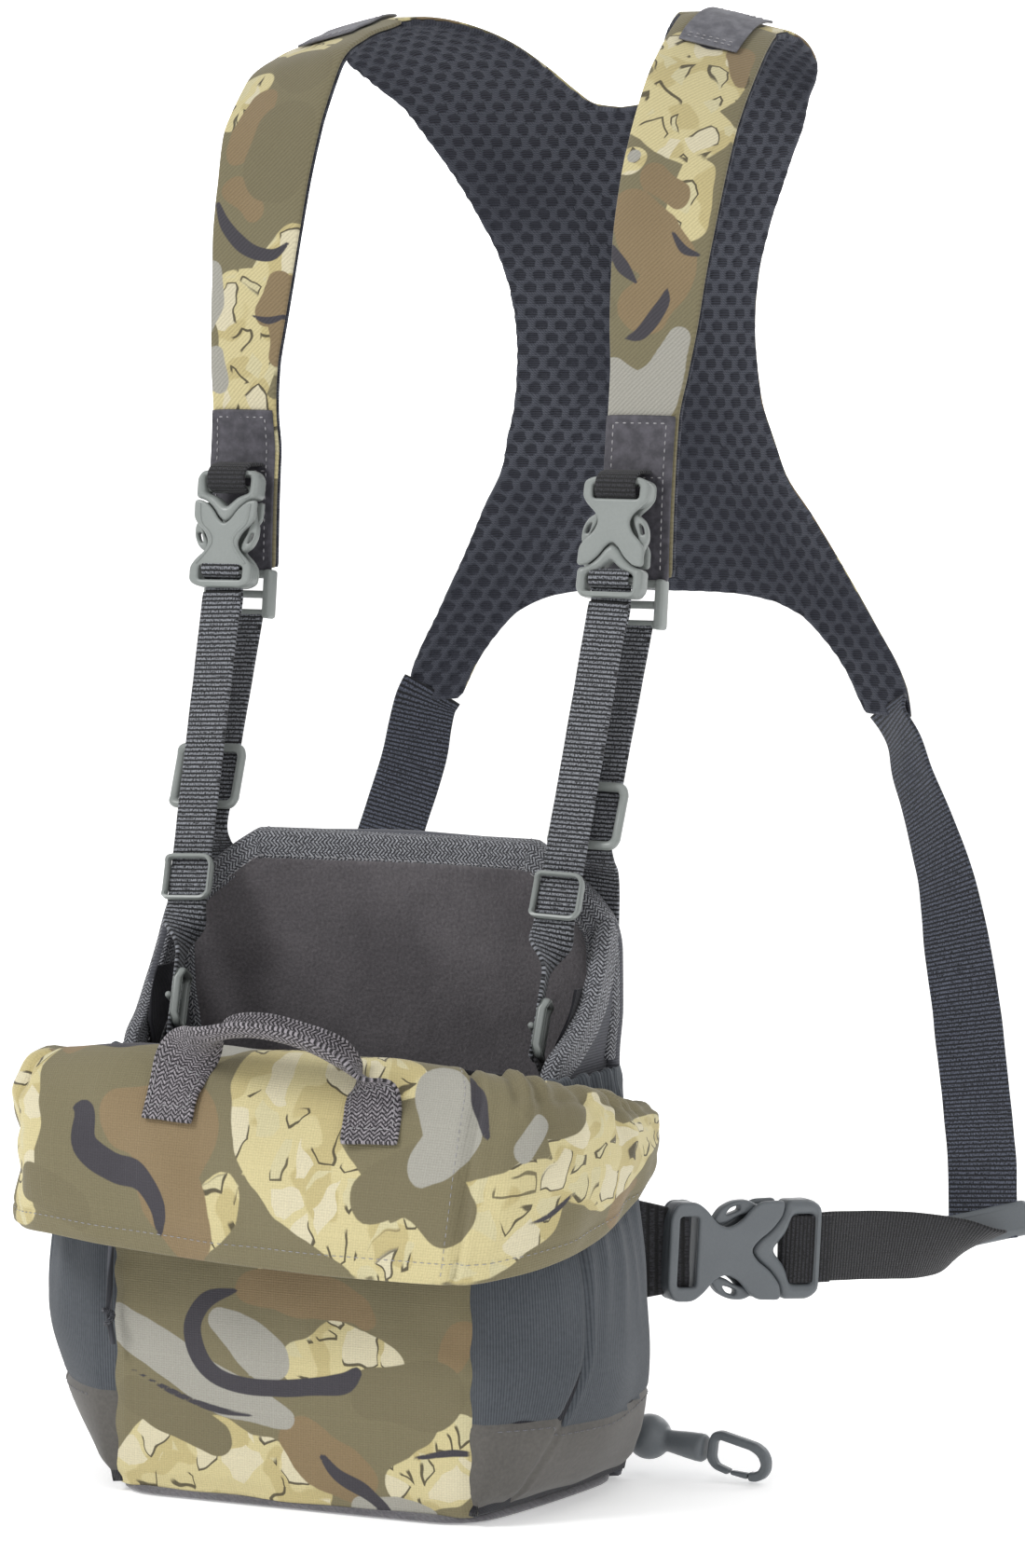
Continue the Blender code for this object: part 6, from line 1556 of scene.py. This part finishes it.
RETURN_W = [(.85, .40, .3), (.75, .35, .55), (.6, .3, .75), (.35, .17, .92), (.1, .05, 1), (.03, .0, 1)]
for side, tag in ((1, "R"), (-1, "L")):
    def mir(p, bump=0.0):
        return V(side * (p[0] - (bump if side < 0 else 0.0)), p[1], p[2])

    def mw(w_):
        return V(w_[0], side * w_[1], side * w_[2]) if side < 0 else V(*w_)
    bumps = [0, 4, 9, 14, 18, 15, 11, 7, 3, 1, 0, 0]
    pts = [(mir(p, b), mw(w_)) for p, b, w_ in zip(WAIST_R, bumps, WAIST_W)]
    ret = [(mir(p), mw(w_)) for p, w_ in zip(RETURN_R, RETURN_W)]
    F, Mb = mir((92.5, 54.0, 80.0)), mir((131.0, 102.6, 76.6))
    dd = (Mb - F).normalized()
    allp = pts + ret
    root = [(V(side * 97.0, 254.7, 259.6), V(.80, -.5 * side, 0))]
    up_ = root + pts[:-1] + [(mir((161.9, 189.6, 69.4)), mw((.90, .43, 0)))]
    strap("waist_webbing_" + tag, [list(p) for p, _ in up_], [list(w_) for _, w_ in up_], 25, M["web_blue"], "pack", "webbing", "waist_webbing_" + tag, step=1.8, cols=13, relief=.25)
    low_ = [(mir(p), mw(w_)) for p, w_ in zip([(161.6, 189.5, 68.0), (158.5, 180, 67.5), (154.5, 169, 68.5), (149.5, 155, 70.5), (142.5, 136, 73.3), (133.6, 111.5, 76.0), (130.6, 104.6, 76.4)],
                                               [(.85, .40, .35), (.75, .35, .55), (.55, .25, .8), (.30, .15, .94), (.1, .05, 1), (.03, 0, 1), (0, 0, 1)])]
    strap("waist_return_" + tag, [list(p) for p, _ in low_], [list(w_) for _, w_ in low_], 24.6, M["web_dark"], "pack", "webbing", step=1.6, cols=13, relief=.2)
    td, tw = (pts[10][0] - pts[11][0]).normalized(), pts[10][1].normalized()
    o = slider("waist_slider_" + tag, pts[10][0], td - tw * .21 * side, tw + td * .21 * side, 29, 36.5, 13.0, M["plastic"])
    put(o, "waist_adjuster_" + tag, "waist_plastic", "waist_slider_" + tag)
    fem, ml, arms_, bfr = buckle("waist_buckle", tag, (F + Mb) / 2, dd, V(0, 0, 1), 36.0, (Mb - F).length, 9.6, M["plastic"])
    put(fem, "pack", "waist_plastic", "waist_buckle_female_" + tag)
    put(ml, "pack", "waist_plastic", "waist_buckle_male_" + tag)
    for a_, nm in arms_:
        put(a_, "waist_" + nm + "_" + tag, "waist_plastic", "waist_buckle_" + nm + "_" + tag)
    # webbing wrapped through the insert's frame
    n_ = bfr[3]
    mc = Mb - dd * 2.6
    wl = [mc + dd * 8 + n_ * 3.0, mc + dd * 2.4 + n_ * 5.6, mc - dd * 5.5 + n_ * 3.4, mc - dd * 11.5 + n_ * 1.4, mc - dd * 12.6 - n_ * .6, mc - dd * 9 - n_ * 2.6, mc - dd * 2 - n_ * 3.0, mc + dd * 7 - n_ * 2.4]
    strap("buckle_loop_" + tag, [list(p) for p in wl], [[0, 0, 1]] * 8, 24, M["web_dark"], "pack", "webbing", th_=1.2, step=.9)
    # fabric tab from the pack's corner to the socket's ring
    r0 = V(side * 74.0, 43.6, 81.0)
    r1 = F + dd * 9.0
    tabp = []
    A_, B_ = mgrid(np.linspace(0, 1, 24), np.linspace(-1, 1, 22))
    hh = 19.0 - 6.2 * A_
    cen = np.array(r0)[None, None] + (np.array(r1 - r0))[None, None] * A_[..., None]
    G = cen + A3([0, 0, 1.0]) * (hh * B_)[..., None]
    o = slab("waist_tab_" + tag, G, -1.3, 1.3, M["web_dark"], np.stack([hh * B_, A_ * 14], -1), .3 * wob(A_ * 14, hh * B_, 9, 71))
    put(o, "pack", "tab_webbing", "waist_tab_" + tag)

# ------------------------------------------------------ zip pull and cord ----
zx, zy = -63.5, FY - 0.9
zfr = (V(zx, zy, ZIP), V(1, 0, 0), V(0, 0, 1), V(0, -1, 0))
body_ = bplate("zs", [rounded([(-4, -4.5), (4, -4.5), (2.6, 4.5), (-2.6, 4.5)], 1.4)], .35, 2.1, zfr, M["plastic"], .7)
lug = bplate("zl", [rounded([(-1.3, -4.2), (1.3, -4.2), (1.3, 3.4), (-1.3, 3.4)], .9)], 1.9, 3.3, zfr, M["plastic"], .6)
zs_ = join("zip_puller", [body_, lug])
put(zs_, "zip_puller", "zip", "zip_slider")
cp = cat([(zx - 2.0, zy - 3.6, ZIP - 5.0), (zx - 3.6, zy - 3.5, ZIP - 14), (zx - 4.2, zy - 3.4, 84), (zx - 4.6, zy - 3.3, 74), (zx - 5.0, zy - 3.5, 64), (zx - 3.4, zy - 3.4, 53)], 8)


def cord_curve(name, pts, r, mat):
    cu = bpy.data.curves.new(name, "CURVE")
    cu.dimensions = "3D"
    cu.bevel_depth = r * MM
    cu.bevel_resolution = 4
    cu.use_fill_caps = True
    sp = cu.splines.new("POLY")
    sp.points.add(len(pts) - 1)
    for p, q_ in zip(sp.points, pts):
        p.co = (q_[0] * MM, q_[1] * MM, q_[2] * MM, 1)
    cu.materials.append(mat)
    ob = bpy.data.objects.new(name, cu)
    bpy.context.scene.collection.objects.link(ob)
    return ob


zc = cord_curve("zip_cord", cp, 1.05, M["cordm"])
a_ = np.linspace(0, 2 * PI, 60)
kn = np.stack([cp[33][0] + 1.5 * np.cos(a_ * 2) + .3, cp[33][1] - 1.0 + 1.1 * np.sin(a_ * 3), cp[33][2] + 2.6 * np.sin(a_)], -1)
knot = tube("zip_knot", kn, 1.0, M["cordm"], 8)
put(zc, "zip_puller", "cord", "zip_pull_cord")
put(knot, "zip_puller", "cord")

# ------------------------------------------------------- stabiliser hook ----
BALL, HK0, HK1 = V(85.7, 57.5, 12.3), V(109.5, 56.0, 10.0), V(135.5, 54.0, 6.9)
sp_ = cat([(52.0, float(back_y(27, 52)) + 2.2, 27), (58, float(back_y(25, 58)) + 2.2, 25.5), (64, float(back_y(22, 64)) + 2.3, 22.6), (70, 50.5, 18.8), (73.5, 55.0, 16.0), (77.6, 57.6, 13.4)], 8)
stc = cord_curve("stabiliser_cord", sp_, 1.45, M["cordm"])
put(stc, "pack", "cord", "stabiliser_cord")
axd = (HK0 - BALL).normalized()
uu = axd.cross(V(0, 0, 1)).normalized()
ww = axd.cross(uu)
prf = [(-8.2, 0.0), (-8.15, 2.2), (-7.6, 3.4)] + [(8.1 * math.sin(a), 8.1 * math.cos(a)) for a in np.linspace(-1.18, .98, 22)] + [(7.3, 4.2), (8.2, 3.9), (9.4, 4.0), (12, 4.3), (16, 4.75), (20, 5.05), (21.6, 5.0), (22.6, 4.3), (22.8, 3.3), (22.6, .0)]
sd_ = 36
rg = A3([[list(BALL + axd * a + (uu * math.cos(t_) + ww * math.sin(t_)) * max(b, .01)) for t_ in np.arange(sd_) * 2 * PI / sd_] for a, b in prf])
ix = np.arange(len(prf) * sd_).reshape(len(prf), sd_)
nxr = np.roll(ix, -1, axis=1)
bq = np.stack([ix[:-1], nxr[:-1], nxr[1:], ix[1:]], -1).reshape(-1, 4)
ball = mesh_from("stabiliser_ball", rg.reshape(-1, 3), bq, rg.reshape(-1, 3)[:, [0, 2]], [M["plastic"]], sharp=50)
put(ball, "pack", "cord", "stabiliser_ball")
dh = (HK1 - HK0).normalized()
uph = (V(0, 0, 1) - dh * dh.z).normalized()
hfr = (HK0, dh, uph, -dh.cross(uph))
hook_out = [(0, -3.4), (3.0, -6.2), (8.5, -7.2), (9.4, -6.2), (9.4, -5.2), (4.4, -4.2), (3.0, -2.2), (3.0, 3.4), (4.4, 4.6), (17, 3.4),
            (20.0, 2.0), (21.6, -.8), (20.6, -3.2), (18.4, -4.3), (17.0, -4.4), (17.0, -7.6), (20, -7.4), (23.2, -5.6),
            (24.8, -2.6), (24.6, 1.4), (22.6, 4.6), (19, 6.4), (4, 7.8), (1.2, 6.6), (0, 3.4)]
hk = bplate("snap_hook", [rounded(hook_out, 1.6, 5)], -1.9, 1.9, hfr, M["plastic"], .95)
put(hk, "hook", "cord", "snap_hook")
gt_ = bplate("snap_gate", [rounded([(9.8, -6.9), (16.6, -7.2), (16.6, -5.0), (9.8, -5.4)], .8)], -1.3, 1.3, hfr, M["plastic"], .6)
put(gt_, "gate", "cord", "snap_gate")

# =============================================================== studio ====
fl = NB("pale_floor", .9, .1)
fn = fl.noise(fl.obj(), .6, 1.0)
fl.b.inputs["Emission Strength"].default_value = .30
fl.b.inputs["Emission Color"].default_value = (1, 1, 1, 1)
fl.done(fl.mix(fn, lin((250, 250, 250)), lin((254, 254, 254))))
fp = [(-6, -5, -.0004), (6, -5, -.0004), (6, 9, -.0004), (-6, 9, -.0004)]
me = bpy.data.meshes.new("floor")
me.from_pydata(fp, [], [(0, 1, 2, 3)])
me.materials.append(fl.m)
floor = bpy.data.objects.new("floor", me)
bpy.context.scene.collection.objects.link(floor)
me = bpy.data.meshes.new("backdrop")
me.from_pydata([(-9, 8.9, -.001), (3.5, 8.9, -.001), (3.5, 8.9, 6), (-9, 8.9, 6)], [], [(0, 1, 2, 3)])
bk_ = NB("pale_backdrop", .9, .1)
bk_.b.inputs["Emission Strength"].default_value = 1.0
bk_.b.inputs["Emission Color"].default_value = (1, 1, 1, 1)
bk_.done(bk_.mix(bk_.noise(bk_.obj(), .5, 1.0), lin((250, 250, 250)), lin((254, 254, 254))))
me.materials.append(bk_.m)
drop = bpy.data.objects.new("backdrop", me)
bpy.context.scene.collection.objects.link(drop)
w = bpy.data.worlds.new("studio")
bpy.context.scene.world = w
w.use_nodes = True
w.node_tree.nodes["Background"].inputs[0].default_value = (1, 1, 1, 1)
w.node_tree.nodes["Background"].inputs[1].default_value = .74


def area(name, loc, target, size, power):
    l = bpy.data.lights.new(name, "AREA")
    l.shape, l.size, l.energy = "DISK", size, power
    o_ = bpy.data.objects.new(name, l)
    o_.location = loc
    o_.rotation_euler = (Vector(target) - Vector(loc)).to_track_quat("-Z", "Y").to_euler()
    bpy.context.scene.collection.objects.link(o_)
    return o_


area("key", (-1.2, -1.5, 1.9), (0, 0, .2), .8, 30)
area("fill", (1.9, -1.1, .9), (0, 0, .2), 1.2, 5)
area("rim", (.6, 1.7, 1.5), (0, 0, .3), .9, 8)
cam = bpy.data.cameras.new("camera")
cam.lens, cam.sensor_width, cam.sensor_fit = 135.0, 36.0, "AUTO"
cam.clip_start, cam.clip_end = .05, 50
co_ = bpy.data.objects.new("camera", cam)
co_.location = (.9254, -1.8274, .430)
co_.rotation_euler = (math.radians(84.884), 0, math.radians(25.3655))
bpy.context.scene.collection.objects.link(co_)
bpy.context.scene.camera = co_
bpy.context.scene.view_settings.view_transform = "Standard"

bpy.context.view_layer.update()
